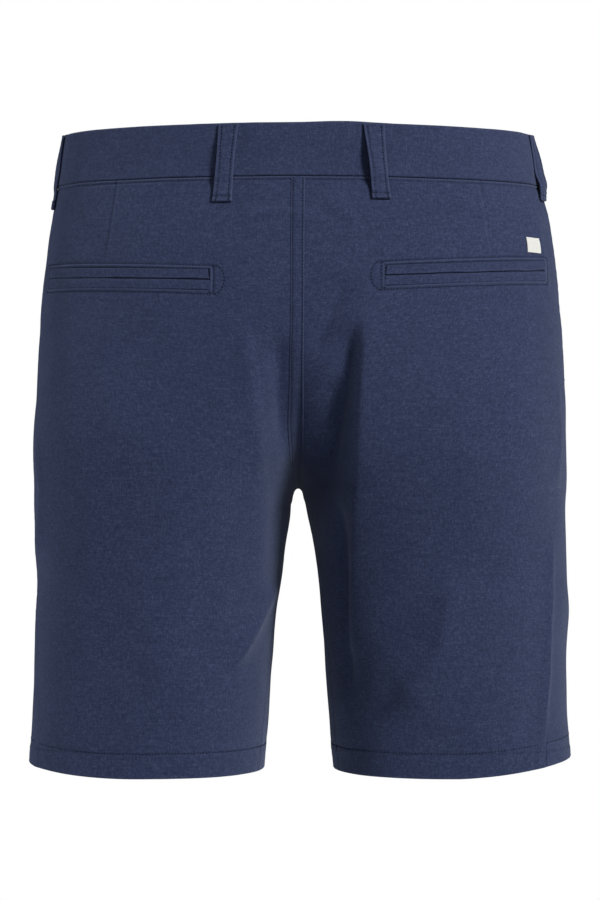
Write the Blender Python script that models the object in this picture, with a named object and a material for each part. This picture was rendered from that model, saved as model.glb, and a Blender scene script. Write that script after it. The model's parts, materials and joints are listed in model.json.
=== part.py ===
"""Bermuda shorts, filled out as if worn.

The wearer faces +Y, +X is the wearer's right and +Z is up. The origin is the centre of the
waistband, half way up. All sizes are in millimetres and become metres in make_object().
The cloth is a wall on one smooth surface, which each piece takes its own stretch of.
"""

from math import pi

import bmesh
import bpy
import numpy as np
from mathutils import Matrix, Vector

MM = 0.001

# Cloth
CLOTH = 1.2
SEAM_GAP = 0.3
LAYER_GAP = 0.3
INSIDE_GAP = 0.8
WAISTBAND_CLOTH = 2.4
WAISTBAND_PROUD = 0.9

# Heights
BAND_TOP = 20.3
BAND_SEAM = -18.0
BAND_SEAM_DIP = 2.1
DIP_FADE = 80.0
CROTCH = -254.0
HEM = -470.0
HEM_DEPTH = 20.0
HEM_STEP = 1.0

# The surface: one rounded section at the waist turns into two rounded legs, which cross at the
# centre above the crotch (a negative gap) and part below it
TORSO_ROUNDNESS = 2.35
LEG_ROUNDNESS = 2.3
LEGS_START = -60.0
LEGS_FULL = -236.0
CROTCH_Y = 4.0

SECTION_COLUMNS = ("level", "left", "right", "gap_left", "gap_right", "crown", "back", "front", "side")
SECTIONS = (
    (20.3, 180.8, 180.6, -120.0, -120.0, 60.0, 86.0, 84.0, 0.0),
    (-18.0, 186.4, 187.2, -110.0, -110.0, 66.0, 89.0, 87.0, 0.0),
    (-42.0, 190.4, 193.4, -103.0, -103.0, 71.0, 97.5, 93.5, -1.0),
    (-65.0, 194.0, 197.4, -96.0, -96.0, 77.0, 105.5, 99.0, -2.0),
    (-100.0, 197.8, 201.2, -84.0, -84.0, 85.0, 115.5, 104.5, -4.0),
    (-140.0, 200.4, 204.4, -66.0, -66.0, 93.0, 122.5, 106.5, -6.0),
    (-182.0, 202.4, 205.8, -43.0, -43.0, 99.0, 125.5, 105.0, -8.0),
    (-229.0, 204.6, 206.9, -13.5, -13.5, 103.0, 123.5, 100.5, -9.0),
    (-254.0, 203.6, 206.9, 0.0, 0.0, 104.5, 120.5, 97.0, -10.0),
    (-264.0, 203.4, 206.5, 3.9, 3.3, 105.3, 119.1, 95.6, -10.4),
    (-276.0, 203.3, 206.2, 5.9, 6.7, 106.5, 117.0, 93.8, -11.0),
    (-299.0, 203.0, 206.3, 9.8, 12.0, 109.0, 113.2, 90.5, -12.0),
    (-323.0, 201.2, 207.3, 13.1, 15.2, 110.5, 109.8, 87.3, -12.0),
    (-346.0, 202.5, 208.3, 16.5, 17.6, 112.0, 106.8, 84.0, -12.0),
    (-381.0, 203.4, 206.8, 19.6, 20.3, 113.5, 102.6, 79.0, -13.0),
    (-428.0, 205.2, 207.2, 23.0, 23.4, 115.5, 97.8, 72.5, -13.0),
    (-470.0, 207.7, 209.7, 26.4, 26.9, 118.5, 94.0, 67.0, -13.0),
)

# How much higher the hem lies at the widest point than at the front and back
HEM_TILT = 3.4
TILT_FADE = 90.0

# Seam places as a share of the way round from the widest point (0) to the inner edge (1)
SEAM_COLUMNS = ("level", "left", "right", "inseam")
SEAMS = (
    (20.3, 0.00, 0.10, 0.00),
    (-100.0, 0.00, 0.09, 0.00),
    (-200.0, 0.01, 0.12, 0.00),
    (-254.0, 0.02, 0.15, 0.00),
    (-300.0, 0.05, 0.18, 0.03),
    (-345.0, 0.08, 0.21, 0.07),
    (-470.0, 0.15, 0.25, 0.12),
)

# Folds: a path of three points as seen from the back (x, z), the widths on its left and right
# (for a path that runs down), its height (a trough is negative) and how blunt its crest is
FOLD_COLUMNS = ("face", "x0", "z0", "x1", "z1", "x2", "z2", "left", "right", "height", "blunt")
FOLDS = (
    ("back", -44, -118, -34, -186, -27, -254, 18, 11, 4.0, 6),
    ("back", -30, -236, -29, -290, -31, -352, 16, 11, 2.8, 6),
    ("back", 50, -114, 47, -188, 45, -276, 14, 28, 6.4, 6),
    ("back", 45, -240, 44, -312, 39, -396, 12, 26, 4.6, 6),
    ("back", 42, -126, 33, -182, 12, -248, 14, 10, -6.6, 6),
    ("back", 27, -168, 26, -212, 20, -272, 14, 12, -5.0, 6),
    ("back", 28, -252, 33, -320, 38, -420, 11, 10, -5.6, 6),
    ("back", -15, -134, -13, -181, -7, -232, 11, 10, -4.4, 6),
    ("back", -17, -322, -31, -354, -52, -394, 11, 9, 3.6, 6),
    ("back", 111, -322, 100, -378, 52, -428, 15, 11, -4.8, 6),
    ("back", 90, -330, 82, -366, 62, -396, 12, 12, 2.4, 6),
    ("back", 140, -318, 134, -372, 118, -428, 16, 16, 2.2, 8),
    ("back", -183, -232, -182, -264, -192, -318, 9, 10, 2.2, 6),
    ("back", -120, -290, -112, -352, -96, -410, 18, 18, 1.3, 8),
    ("back", -78, -270, -70, -330, -74, -396, 14, 14, -1.5, 8),
    ("back", 150, -150, 142, -190, 120, -226, 16, 16, -1.3, 8),
    ("back", -140, -140, -128, -180, -104, -214, 16, 16, -1.2, 8),
    ("front", -14, -226, -52, -206, -96, -192, 8, 8, -2.4, 5),
    ("front", 16, -228, 56, -210, 98, -200, 8, 8, -2.2, 5),
    ("front", -16, -244, -60, -240, -104, -238, 8, 8, 2.0, 5),
    ("front", 18, -245, 62, -244, 102, -244, 8, 8, 1.8, 5),
    ("front", -40, -250, -44, -320, -42, -400, 13, 18, 2.8, 6),
    ("front", 42, -250, 46, -318, 44, -396, 18, 13, 2.6, 6),
    ("front", -78, -262, -92, -330, -98, -410, 15, 15, 1.8, 8),
    ("front", 80, -258, 96, -322, 104, -396, 14, 14, 1.8, 8),
    ("front", -124, -266, -132, -330, -130, -392, 14, 14, -1.6, 8),
    ("front", 130, -262, 138, -326, 134, -402, 15, 15, -1.8, 8),
)
FOLD_EDGE = 0.10
CREST_FALL = 1.3
CENTRE_KEPT = 12.0
INSEAM_FADE = 60.0

# Grid of a panel
BACK_COLUMNS = (11, 16)
BACK_CHANGE = 0.56
FRONT_COLUMNS = 15
UPPER_ROWS = 11
SEAT_ROWS = 5
CROTCH_ROWS = (-234.0, -242.0, -248.0, -251.6, -253.4, -254.0, -254.7, -256.6, -260.5, -267.0)
LOWER_ROWS = 13

# Front pocket: a slanted mouth from the waistband seam to the side seam
MOUTH_TOP = 0.30
MOUTH_END = -176.0
FACING_OVERLAP = 0.13
FACING_ROWS = 12
FACING_COLUMNS = 5

# Fly: the left front's edge lies over the right front
FLY_END = -168.0
FLY_OVERLAP = 4.0
FLY_RISE = 9.0
FLY_FLAT = 1.0
FLY_FADE = 13.2
SHIELD_PLACES = (-32.0, -21.0, -10.5, 0.0, 8.0)
SHIELD_ROWS = 11
SHIELD_CLOTH = 1.6

# Waistband ends
BAND_STEPS = 68
BAND_ROWS = 3
LAP_STEPS = 5
FULL_TURN = 4.0
UNDERLAP = 38.0
UNDERLAP_BEND = (20.0, 9.0)

# Belt loops: turns round the waist and widths at the top and the bottom, and the lower end
LOOP_COLUMNS = ("place", "top_turn", "bottom_turn", "top_width", "bottom_width", "end")
LOOPS = (
    ("back_left", 2.182, 2.192, 15.0, 15.5, -40.0),
    ("back_right", 1.803, 1.802, 16.5, 13.5, -37.5),
    ("side_left", 3.02, 3.00, 14.0, 14.0, -39.0),
    ("side_right", 1.07, 1.10, 14.0, 14.0, -37.5),
    ("front_left", 3.66, 3.655, 14.5, 14.5, -39.0),
    ("front_right", 0.34, 0.345, 14.5, 14.5, -39.0),
)
LOOP_TOP = 19.4
LOOP_CLOTH = 1.6
LOOP_FOLD = 2.4
LOOP_FOLD_HEIGHT = 7.0
LOOP_BULGE = 2.2
LOOP_ROWS = 12
LOOP_COLUMNS_ACROSS = 2

# Back welt pockets: slit ends (x, z), inner end first
WELTS = {"left": ((65.4, -99.4), (189.7, -94.2)), "right": ((64.0, -96.2), (186.5, -88.9))}
WELT_WIDTH = 7.3
WELT_SLIT = 0.5
WELT_CLOTH = 1.1
WELT_COLUMNS = 14

# Woven label on the right back, bare
LABEL_PLACE = (177.6, -69.4)
LABEL_WIDTH = 16.0
LABEL_HEIGHT = 12.0
LABEL_CLOTH = 0.6

# Waist button
BUTTON_PLACE = (-13.0, 1.5)
BUTTON_WIDTH = 17.0
BUTTON_DEPTH = 2.8
BUTTON_DISH = 0.9
BUTTON_SHANK = 0.7
BUTTON_RIM = 2.2
BUTTON_HOLE = 2.0
BUTTON_HOLE_PLACE = 1.9
BUTTON_SIDES = 24
HOLE_SIDES = 8

MATERIALS = {
    "navy_cloth": ((0.036, 0.047, 0.098, 1.0), 0.92),
    "white_tape": ((0.62, 0.62, 0.58, 1.0), 0.8),
    "button_resin": ((0.03, 0.034, 0.06, 1.0), 0.4),
}


# ---------------------------------------------------------------- tables and curves

def columns(names, rows):
    """A table as one array for each named column, lowest level first."""
    return {name: np.array(values[::-1], float) for name, values in zip(names, zip(*rows))}


def named(names, rows):
    """A table as a dictionary for each row."""
    return [dict(zip(names, row)) for row in rows]


SECTION = columns(SECTION_COLUMNS, SECTIONS)
SEAM = columns(SEAM_COLUMNS, SEAMS)


def along(table, name, level):
    """A column's value at a level, on a smooth curve through the table's rows."""
    levels = table["level"]
    values = table[name]
    slopes = np.gradient(values, levels)
    level = np.clip(level, levels[0], levels[-1])
    low = np.clip(np.searchsorted(levels, level) - 1, 0, len(levels) - 2)
    span = levels[low + 1] - levels[low]
    t = (level - levels[low]) / span
    rise = values[low + 1] - values[low]
    bend_in = slopes[low] * span - rise
    bend_out = rise - slopes[low + 1] * span
    return values[low] + t * rise + t * (1 - t) * ((1 - t) * bend_in + t * bend_out)


def ease(start, end, value):
    """0 at start, 1 at end, with a soft change between."""
    t = np.clip((value - start) / (end - start), 0.0, 1.0)
    return t * t * (3.0 - 2.0 * t)


def rounded(angle, roundness):
    """Cosine and sine of a quarter turn on a squarish circle."""
    cosine = np.cos(angle)
    sine = np.sin(angle)
    reach = (np.abs(cosine) ** roundness + np.abs(sine) ** roundness) ** (-1.0 / roundness)
    return cosine * reach, sine * reach


# ---------------------------------------------------------------- the cloth's surface

def leg_quarters(share, width, gap, crown, depth, side_line, inner_line):
    """A leg's section from its widest point (0) past its crown (half way) to its inner edge (1),
    which is the centre plane where the two legs cross."""
    outer_x, outer_y = rounded(np.clip(share, 0.0, 0.5) * pi, LEG_ROUNDNESS)
    cut = crown / (crown - np.minimum(gap, 0.0))
    last_turn = np.arctan2(cut, (1.0 - cut ** LEG_ROUNDNESS) ** (1.0 / LEG_ROUNDNESS))
    inner_y, inner_x = rounded(np.clip(share - 0.5, 0.0, 0.5) * 2 * last_turn, LEG_ROUNDNESS)
    outside = share < 0.5
    x = np.where(outside, crown + (width - crown) * outer_x, crown - (crown - gap) * inner_x)
    y = np.where(outside, side_line + (depth - side_line) * outer_y,
                 inner_line + (depth - inner_line) * inner_y)
    return x, y


def base_point(side, way, level):
    """A point of the surface: way runs from the front's inner edge (-1) past the widest
    point (0) to the back's inner edge (1); below the crotch it goes on round."""
    way = np.where(way < -1.0, way + 2.0, way)
    share = np.abs(way)
    width = along(SECTION, "left" if side < 0 else "right", level)
    depth = np.where(way >= 0, -along(SECTION, "back", level), along(SECTION, "front", level))
    side_line = along(SECTION, "side", level)
    inner_line = CROTCH_Y + (side_line - CROTCH_Y) * ease(CROTCH, HEM, level)

    torso_x, torso_y = rounded(share * pi / 2, TORSO_ROUNDNESS)
    torso_x = torso_x * width
    torso_y = side_line + torso_y * (depth - side_line)
    gap = along(SECTION, "gap_left" if side < 0 else "gap_right", level)
    crown = along(SECTION, "crown", level)
    leg_x, leg_y = leg_quarters(share, width, gap, crown, depth, side_line, inner_line)
    legs = ease(LEGS_START, LEGS_FULL, level)
    x = torso_x + (leg_x - torso_x) * legs
    y = torso_y + (leg_y - torso_y) * legs
    dip = BAND_SEAM_DIP * np.cos(pi * share) * np.clip(1 - (BAND_SEAM - level) / DIP_FADE, 0, 1)
    dip = dip * np.clip((BAND_TOP - level) / (BAND_TOP - BAND_SEAM), 0, 1)
    outward = np.clip((x - crown) / (width - crown), 0.0, 1.0)
    tilt = HEM_TILT * outward ** 4 * ease(HEM + TILT_FADE, HEM, level)
    return np.stack([side * (x + SEAM_GAP / 2), y, level + dip + tilt], axis=-1)


def surface_normal(side, way, level):
    """Outward unit normal of the surface."""
    way = np.clip(way, -1.9, 0.996)
    way = np.where(np.abs(way + 1.0) < 0.004, -0.996, way)
    step_way = 0.003
    step_level = 0.6
    level = np.where(np.abs(level - CROTCH) < step_level, CROTCH + step_level, level)
    round_it = base_point(side, way + step_way, level) - base_point(side, way - step_way, level)
    down_it = base_point(side, way, level - step_level) - base_point(side, way, level + step_level)
    normal = np.cross(round_it, down_it) * side
    return normal / np.linalg.norm(normal, axis=-1, keepdims=True)


def path_distance(x, z, fold):
    """Distance from a fold's path, which side of it a point is on (-1 left, 1 right of a path
    that runs down), and the share of the path passed."""
    nearest = np.full(np.shape(x), np.inf)
    hand = np.ones(np.shape(x))
    passed = np.zeros(np.shape(x))
    path = np.array([(fold["x" + point], fold["z" + point]) for point in "012"], float)
    for part in (0, 1):
        start = path[part]
        run = path[part + 1] - start
        share = ((x - start[0]) * run[0] + (z - start[1]) * run[1]) / (run @ run)
        share = np.clip(share, 0.0, 1.0)
        away = np.hypot(x - start[0] - share * run[0], z - start[1] - share * run[1])
        turn = run[0] * (z - start[1]) - run[1] * (x - start[0])
        closer = away < nearest
        passed = np.where(closer, (part + share) / 2, passed)
        hand = np.where(closer, np.tanh(turn / np.hypot(*run) / 2.0), hand)
        nearest = np.minimum(nearest, away)
    return nearest, hand, passed


def fold_height(side, way, point):
    """How far the folds lift the cloth off the plain surface at a point."""
    way = np.where(way < -1.0, way + 2.0, way)
    share = np.abs(way)
    in_leg = ease(CROTCH + INSEAM_FADE, CROTCH, point[..., 2])
    seams = ease(0.0, FOLD_EDGE, share) * (1.0 - in_leg * ease(1.0 - FOLD_EDGE, 1.0, share))
    height = np.zeros(np.shape(share))
    for fold in named(FOLD_COLUMNS, FOLDS):
        away, hand, passed = path_distance(point[..., 0], point[..., 2], fold)
        width = fold["left"] + (fold["right"] - fold["left"]) * (0.5 + 0.5 * hand)
        blunt = fold["blunt"]
        crest = np.exp(-(np.hypot(away, blunt) - blunt) / width * CREST_FALL)
        taper = (1.0 - (2.0 * passed - 1.0) ** 4) * ease(-0.05, 0.22, passed)
        taper = taper * ease(1.05, 0.78, passed)
        on_face = way >= 0 if fold["face"] == "back" else way < 0
        height = height + np.where(on_face, fold["height"] * taper * crest, 0.0)
    return height * seams


def fold_way(normal, point):
    """The way the folds lift the cloth: along the normal, but never across the centre seam."""
    kept = ease(0.0, CENTRE_KEPT, np.abs(point[..., 0]))
    return np.stack([normal[..., 0] * kept, normal[..., 1], normal[..., 2]], axis=-1)


def cloth_point(side, way, level, out=0.0):
    """A point of the folded cloth, moved out along the normal."""
    way, level, out = np.broadcast_arrays(np.asarray(way, float), np.asarray(level, float), out)
    point = base_point(side, way, level)
    normal = surface_normal(side, way, level)
    lift = fold_height(side, way, point)[..., None]
    return point + fold_way(normal, point) * lift + normal * out[..., None]


def ring_point(turn, level, out=0.0):
    """A point of the torso's ring: turn 0 is the front, 1 the right, 2 the back, 3 the left."""
    turn, level, out = np.broadcast_arrays(np.asarray(turn, float), np.asarray(level, float), out)
    turn = np.mod(turn, FULL_TURN)
    right = cloth_point(1, np.clip(turn, 0.0, 2.0) - 1.0, level, out)
    left = cloth_point(-1, 3.0 - np.clip(turn, 2.0, FULL_TURN), level, out)
    return np.where((turn <= 2.0)[..., None], right, left)


def way_at(side, face, x, level):
    """How far round the surface is at distance x from the centre, on the back or front."""
    x, level = np.broadcast_arrays(np.asarray(x, float), np.asarray(level, float))
    sign = 1.0 if face == "back" else -1.0
    near = np.zeros(x.shape)
    far = np.ones(x.shape)
    for _ in range(30):
        middle = (near + far) / 2
        outside = np.abs(base_point(side, sign * middle, level)[..., 0]) > x
        near = np.where(outside, middle, near)
        far = np.where(outside, far, middle)
    return sign * (near + far) / 2


def turn_at(face, x, level):
    """The ring's turn at a signed x on the back or the front."""
    side = 1 if np.all(np.asarray(x) >= 0) else -1
    way = way_at(side, face, np.abs(x), level)
    return 1.0 + way if side > 0 else 3.0 - way


# ---------------------------------------------------------------- closed walls

def wall_faces(rows, cols, closed):
    """Quads of two grids and of the rim between them; the inner grid follows the outer."""
    layer = rows * cols
    faces = []
    last = cols if closed else cols - 1
    for row in range(rows - 1):
        for col in range(last):
            a = row * cols + col
            b = row * cols + (col + 1) % cols
            c = b + cols
            d = a + cols
            faces.append((a, b, c, d))
            faces.append((d + layer, c + layer, b + layer, a + layer))
    for col in range(last):
        for row in (0, rows - 1):
            a = row * cols + col
            b = row * cols + (col + 1) % cols
            rim = (b, a, a + layer, b + layer)
            faces.append(rim if row == 0 else rim[::-1])
    if not closed:
        for row in range(rows - 1):
            for col in (0, cols - 1):
                a = row * cols + col
                d = a + cols
                rim = (a, d, d + layer, a + layer)
                faces.append(rim if col == 0 else rim[::-1])
    return faces


def make_material(name):
    """A plain finish with a colour and a roughness."""
    if name in bpy.data.materials:
        return bpy.data.materials[name]
    colour, roughness = MATERIALS[name]
    material = bpy.data.materials.new(name)
    material.use_nodes = True
    shader = material.node_tree.nodes["Principled BSDF"]
    shader.inputs["Base Color"].default_value = colour
    shader.inputs["Roughness"].default_value = roughness
    shader.inputs["Metallic"].default_value = 0.0
    material.diffuse_color = colour
    return material


def face_outwards(mesh):
    """Turn the faces of a closed mesh round when they point in."""
    editor = bmesh.new()
    editor.from_mesh(mesh)
    bmesh.ops.triangulate(editor, faces=editor.faces[:])
    if editor.calc_volume(signed=True) < 0:
        bmesh.ops.reverse_faces(editor, faces=editor.faces[:])
    editor.to_mesh(mesh)
    editor.free()


def make_object(name, points, faces, material, parent):
    """One named piece from points in millimetres."""
    mesh = bpy.data.meshes.new(name)
    mesh.from_pydata([Vector(point) * MM for point in points], [], faces)
    mesh.materials.append(make_material(material))
    face_outwards(mesh)
    mesh.shade_smooth()
    mesh.set_sharp_from_angle(angle=pi / 4)
    piece = bpy.data.objects.new(name, mesh)
    bpy.context.scene.collection.objects.link(piece)
    piece.parent = parent
    return piece


def make_wall(name, outer, inner, parent, closed=False, material="navy_cloth"):
    """A closed wall between two grids of points."""
    rows, cols = outer.shape[:2]
    points = np.concatenate([outer.reshape(-1, 3), inner.reshape(-1, 3)])
    return make_object(name, points.tolist(), wall_faces(rows, cols, closed), material, parent)


# ---------------------------------------------------------------- panels

def panel_levels():
    """Heights of a panel's rows: some lie at the fly's end, and more at the crotch and hem."""
    hem_top = HEM + HEM_DEPTH
    upper = np.linspace(BAND_SEAM - SEAM_GAP, FLY_END + FLY_FADE, UPPER_ROWS)
    seat = np.linspace(FLY_END, CROTCH_ROWS[0], SEAT_ROWS, endpoint=False)
    lower = np.linspace(CROTCH_ROWS[-1], hem_top, LOWER_ROWS)[1:]
    hem = (hem_top - HEM_STEP, HEM)
    return np.concatenate([upper, seat, CROTCH_ROWS, lower, hem])


def wall_depth(levels):
    """The panel's thickness: doubled where the hem is turned up inside."""
    return np.where(levels < HEM + HEM_DEPTH - HEM_STEP / 2, 2 * CLOTH, CLOTH)


def edge_shift(side, way, level):
    """Half a seam's gap as a share of the way round."""
    step = 0.004
    ahead = base_point(side, way - step * np.sign(way - 0.1), level)
    run = np.linalg.norm(ahead - base_point(side, way, level), axis=-1) / step
    return SEAM_GAP / 2 / run


def inseam_shift(level):
    """How far the inseam lies behind the leg's innermost point, as a share of the way round."""
    return np.where(level < CROTCH, along(SEAM, "inseam", level), 0.0)


def side_seam(side, level):
    """Where the side seam is, as a share of the way round towards the back."""
    return along(SEAM, "left" if side < 0 else "right", level)


def back_ways(side, levels):
    """Columns of a back panel, from the side seam to the centre seam and inseam."""
    start = side_seam(side, levels)
    start = start + edge_shift(side, start, levels)
    end = 1.0 - inseam_shift(levels)
    legs = levels < CROTCH + 6.0
    end = end - np.where(legs, edge_shift(side, end, levels), 0.0)
    wide = np.linspace(0.0, BACK_CHANGE, BACK_COLUMNS[0])
    share = np.concatenate([wide, np.linspace(BACK_CHANGE, 1.0, BACK_COLUMNS[1])[1:]])
    return start[:, None] + (end - start)[:, None] * share


def mouth_share(levels):
    """The pocket mouth's distance from the side seam, as a share of the front's width."""
    top = BAND_SEAM - SEAM_GAP
    return MOUTH_TOP * np.clip((levels - MOUTH_END) / (top - MOUTH_END), 0.0, 1.0)


def front_ways(side, levels):
    """Columns of a front panel, from the side seam or pocket mouth to the inner edge."""
    seam = side_seam(side, levels)
    start = seam - edge_shift(side, seam - 0.01, levels)
    end = -1.0 - inseam_shift(levels)
    legs = levels < CROTCH + 6.0
    end = end + np.where(legs, edge_shift(side, np.maximum(end, -0.999), levels), 0.0)
    start = start + (end - start) * mouth_share(levels)
    share = np.linspace(0.0, 1.0, FRONT_COLUMNS)
    return start[:, None] + (end - start)[:, None] * share


def make_back(side, name, parent):
    """A back panel with its turned-up hem."""
    levels = panel_levels()
    ways = back_ways(side, levels)
    rows = levels[:, None]
    outer = cloth_point(side, ways, rows)
    inner = cloth_point(side, ways, rows, -wall_depth(levels)[:, None])
    make_wall(name, outer, inner, parent)


def fly_lap(levels):
    """How far the left front's edge passes the centre, and how far it lies out."""
    reach = FLY_OVERLAP * ease(FLY_END, FLY_END + FLY_FADE, levels)
    out = (CLOTH + LAYER_GAP) * ease(FLY_END - FLY_FADE, FLY_END, levels)
    return reach, out


def lap_over(levels, ways, out):
    """Place the left front's last columns so that its edge can lap over the right front."""
    reach, rise = fly_lap(levels)
    flap = levels > FLY_END - FLY_FADE
    start = ways[flap, :1]
    foot = way_at(-1, "front", FLY_RISE, levels[flap])[:, None]
    ways[flap, :-2] = start + (foot - start) * np.linspace(0.0, 1.0, FRONT_COLUMNS - 2)
    ways[flap, -2] = way_at(-1, "front", FLY_FLAT, levels[flap])
    ways[reach > 0, -1] = way_at(-1, "front", reach[reach > 0], levels[reach > 0])
    out[:, -2:] = rise[:, None]
    return reach > 0


def make_front(side, name, parent):
    """A front panel, cut away at the pocket mouth; the left one laps over at the fly."""
    levels = panel_levels()
    ways = front_ways(side, levels)
    out = np.zeros(ways.shape)
    lapped = lap_over(levels, ways, out) if side < 0 else levels > BAND_TOP
    rows = levels[:, None]
    outer = cloth_point(side, ways, rows, out)
    inner = cloth_point(side, ways, rows, out - wall_depth(levels)[:, None])
    for grid in (outer, inner):
        grid[lapped, -1, 0] *= -1.0
    make_wall(name, outer, inner, parent)


def make_pocket_facing(side, name, parent):
    """The cloth that shows in a front pocket's mouth, behind the front panel."""
    levels = np.linspace(BAND_SEAM - SEAM_GAP, MOUTH_END - 4.0, FACING_ROWS)
    seam = side_seam(side, levels)
    start = seam - edge_shift(side, seam - 0.01, levels)
    end = start + (-1.0 - start) * (mouth_share(levels) + FACING_OVERLAP)
    ways = start[:, None] + (end - start)[:, None] * np.linspace(0.0, 1.0, FACING_COLUMNS)
    rows = levels[:, None]
    top = -CLOTH - INSIDE_GAP
    outer = cloth_point(side, ways, rows, top)
    inner = cloth_point(side, ways, rows, top - CLOTH)
    make_wall(name, outer, inner, parent)


def make_fly_shield(parent):
    """The strip behind the fly opening, sewn to the right front's edge."""
    levels = np.linspace(BAND_SEAM - BAND_SEAM_DIP - 1.5, FLY_END, SHIELD_ROWS)
    places = np.array(SHIELD_PLACES)
    rows = levels[:, None]
    turns = np.where(places < 0, turn_at("front", -np.abs(places), rows),
                     turn_at("front", np.abs(places), rows))
    top = -CLOTH - INSIDE_GAP
    outer = ring_point(turns, rows, top)
    inner = ring_point(turns, rows, top - SHIELD_CLOTH)
    make_wall("fly_shield", outer, inner, parent)


# ---------------------------------------------------------------- waistband and loops

def band_turns():
    """Turns of the waistband from its outer end round the back to its under end."""
    outer_end = float(turn_at("front", FLY_OVERLAP, 0.0))
    under_end = float(turn_at("front", -UNDERLAP, 0.0)) - 2 * FULL_TURN
    bends = [float(turn_at("front", place, 0.0)) - FULL_TURN for place in UNDERLAP_BEND]
    round_it = np.linspace(outer_end, bends[0], BAND_STEPS)
    lap = np.linspace(bends[1], under_end, LAP_STEPS)
    return np.concatenate([round_it, lap]), len(round_it)


def make_waistband(parent):
    """The waistband: one strip all round, whose right end lies under its left end."""
    turns, laid_under = band_turns()
    depth = np.zeros(len(turns))
    depth[laid_under:] = -WAISTBAND_CLOTH - LAYER_GAP
    levels = np.linspace(BAND_TOP, BAND_SEAM, BAND_ROWS)[:, None]
    outer = ring_point(turns, levels, WAISTBAND_PROUD + depth)
    inner = ring_point(turns, levels, WAISTBAND_PROUD - WAISTBAND_CLOTH + depth)
    make_wall("waistband", outer, inner, parent)


def loop_profile(end):
    """A belt loop's rows: height, distance of its back from the cloth, and thickness."""
    heights = np.linspace(LOOP_TOP, end, LOOP_ROWS)
    on_band = WAISTBAND_PROUD + LAYER_GAP
    share = (LOOP_TOP - heights) / (LOOP_TOP - end)
    bulge = LOOP_BULGE * np.sin(pi * share) ** 2
    base = on_band + (LAYER_GAP - on_band) * ease(BAND_SEAM - 4.0, BAND_SEAM - 13.0, heights)
    thick = LOOP_CLOTH + (LOOP_FOLD - LOOP_CLOTH) * (heights < end + LOOP_FOLD_HEIGHT)
    return heights, base + bulge, thick


def make_loop(loop, parent):
    """One belt loop over the waistband."""
    heights, back, thick = loop_profile(loop["end"])
    share = (LOOP_TOP - heights) / (LOOP_TOP - loop["end"])
    centre = loop["top_turn"] + (loop["bottom_turn"] - loop["top_turn"]) * share
    width = loop["top_width"] + (loop["bottom_width"] - loop["top_width"]) * share
    step = 0.01
    run = np.linalg.norm(ring_point(centre + step, heights) - ring_point(centre, heights), axis=-1)
    across = np.linspace(-0.5, 0.5, LOOP_COLUMNS_ACROSS + 1)
    turns = centre[:, None] + across * (width * step / run)[:, None]
    rows = heights[:, None]
    outer = ring_point(turns, rows, (back + thick)[:, None])
    inner = ring_point(turns, rows, back[:, None])
    make_wall("belt_loop_" + loop["place"], outer, inner, parent)


# ---------------------------------------------------------------- pieces on the back

def make_welt(side, hand, edge, parent):
    """One welt of a back pocket, above or below the slit."""
    (inner_x, inner_z), (outer_x, outer_z) = WELTS[hand]
    share = np.linspace(0.0, 1.0, WELT_COLUMNS)
    start = way_at(side, "back", inner_x, inner_z)
    end = way_at(side, "back", outer_x, outer_z)
    ways = start + (end - start) * share
    slit = inner_z + (outer_z - inner_z) * share
    sign = 1.0 if edge == "upper" else -1.0
    near = slit + sign * WELT_SLIT / 2
    levels = np.stack([near, near + sign * WELT_WIDTH / 2, near + sign * WELT_WIDTH])
    crown = np.array([WELT_CLOTH, WELT_CLOTH + 0.3, WELT_CLOTH])[:, None]
    outer = cloth_point(side, ways, levels, LAYER_GAP + crown)
    inner = cloth_point(side, ways, levels, LAYER_GAP)
    make_wall(f"welt_{edge}_{hand}", outer, inner, parent)


def make_label(parent):
    """A small folded woven tab, bare on both faces."""
    x, z = LABEL_PLACE
    centre = float(way_at(1, "back", x, z))
    step = 0.01
    run = np.linalg.norm(base_point(1, np.array(centre + step), np.array(z))
                         - base_point(1, np.array(centre), np.array(z)))
    ways = centre + np.linspace(-0.5, 0.5, 4) * LABEL_WIDTH * step / run
    levels = z + np.array([0.5, 0.0, -0.5])[:, None] * LABEL_HEIGHT
    outer = cloth_point(1, ways, levels, LAYER_GAP + LABEL_CLOTH)
    inner = cloth_point(1, ways, levels, LAYER_GAP)
    make_wall("label", outer, inner, parent, material="white_tape")


def turned_disc(rings):
    """A closed turned mesh from rings of (radius, height), with flat ends."""
    editor = bmesh.new()
    loops = []
    for radius, height in rings:
        angles = [2 * pi * step / BUTTON_SIDES for step in range(BUTTON_SIDES)]
        loops.append([editor.verts.new((radius * np.cos(a), radius * np.sin(a), height))
                      for a in angles])
    for low, high in zip(loops, loops[1:]):
        for step in range(BUTTON_SIDES):
            following = (step + 1) % BUTTON_SIDES
            editor.faces.new((low[step], low[following], high[following], high[step]))
    editor.faces.new(loops[0][::-1])
    editor.faces.new(loops[-1])
    return editor


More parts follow.
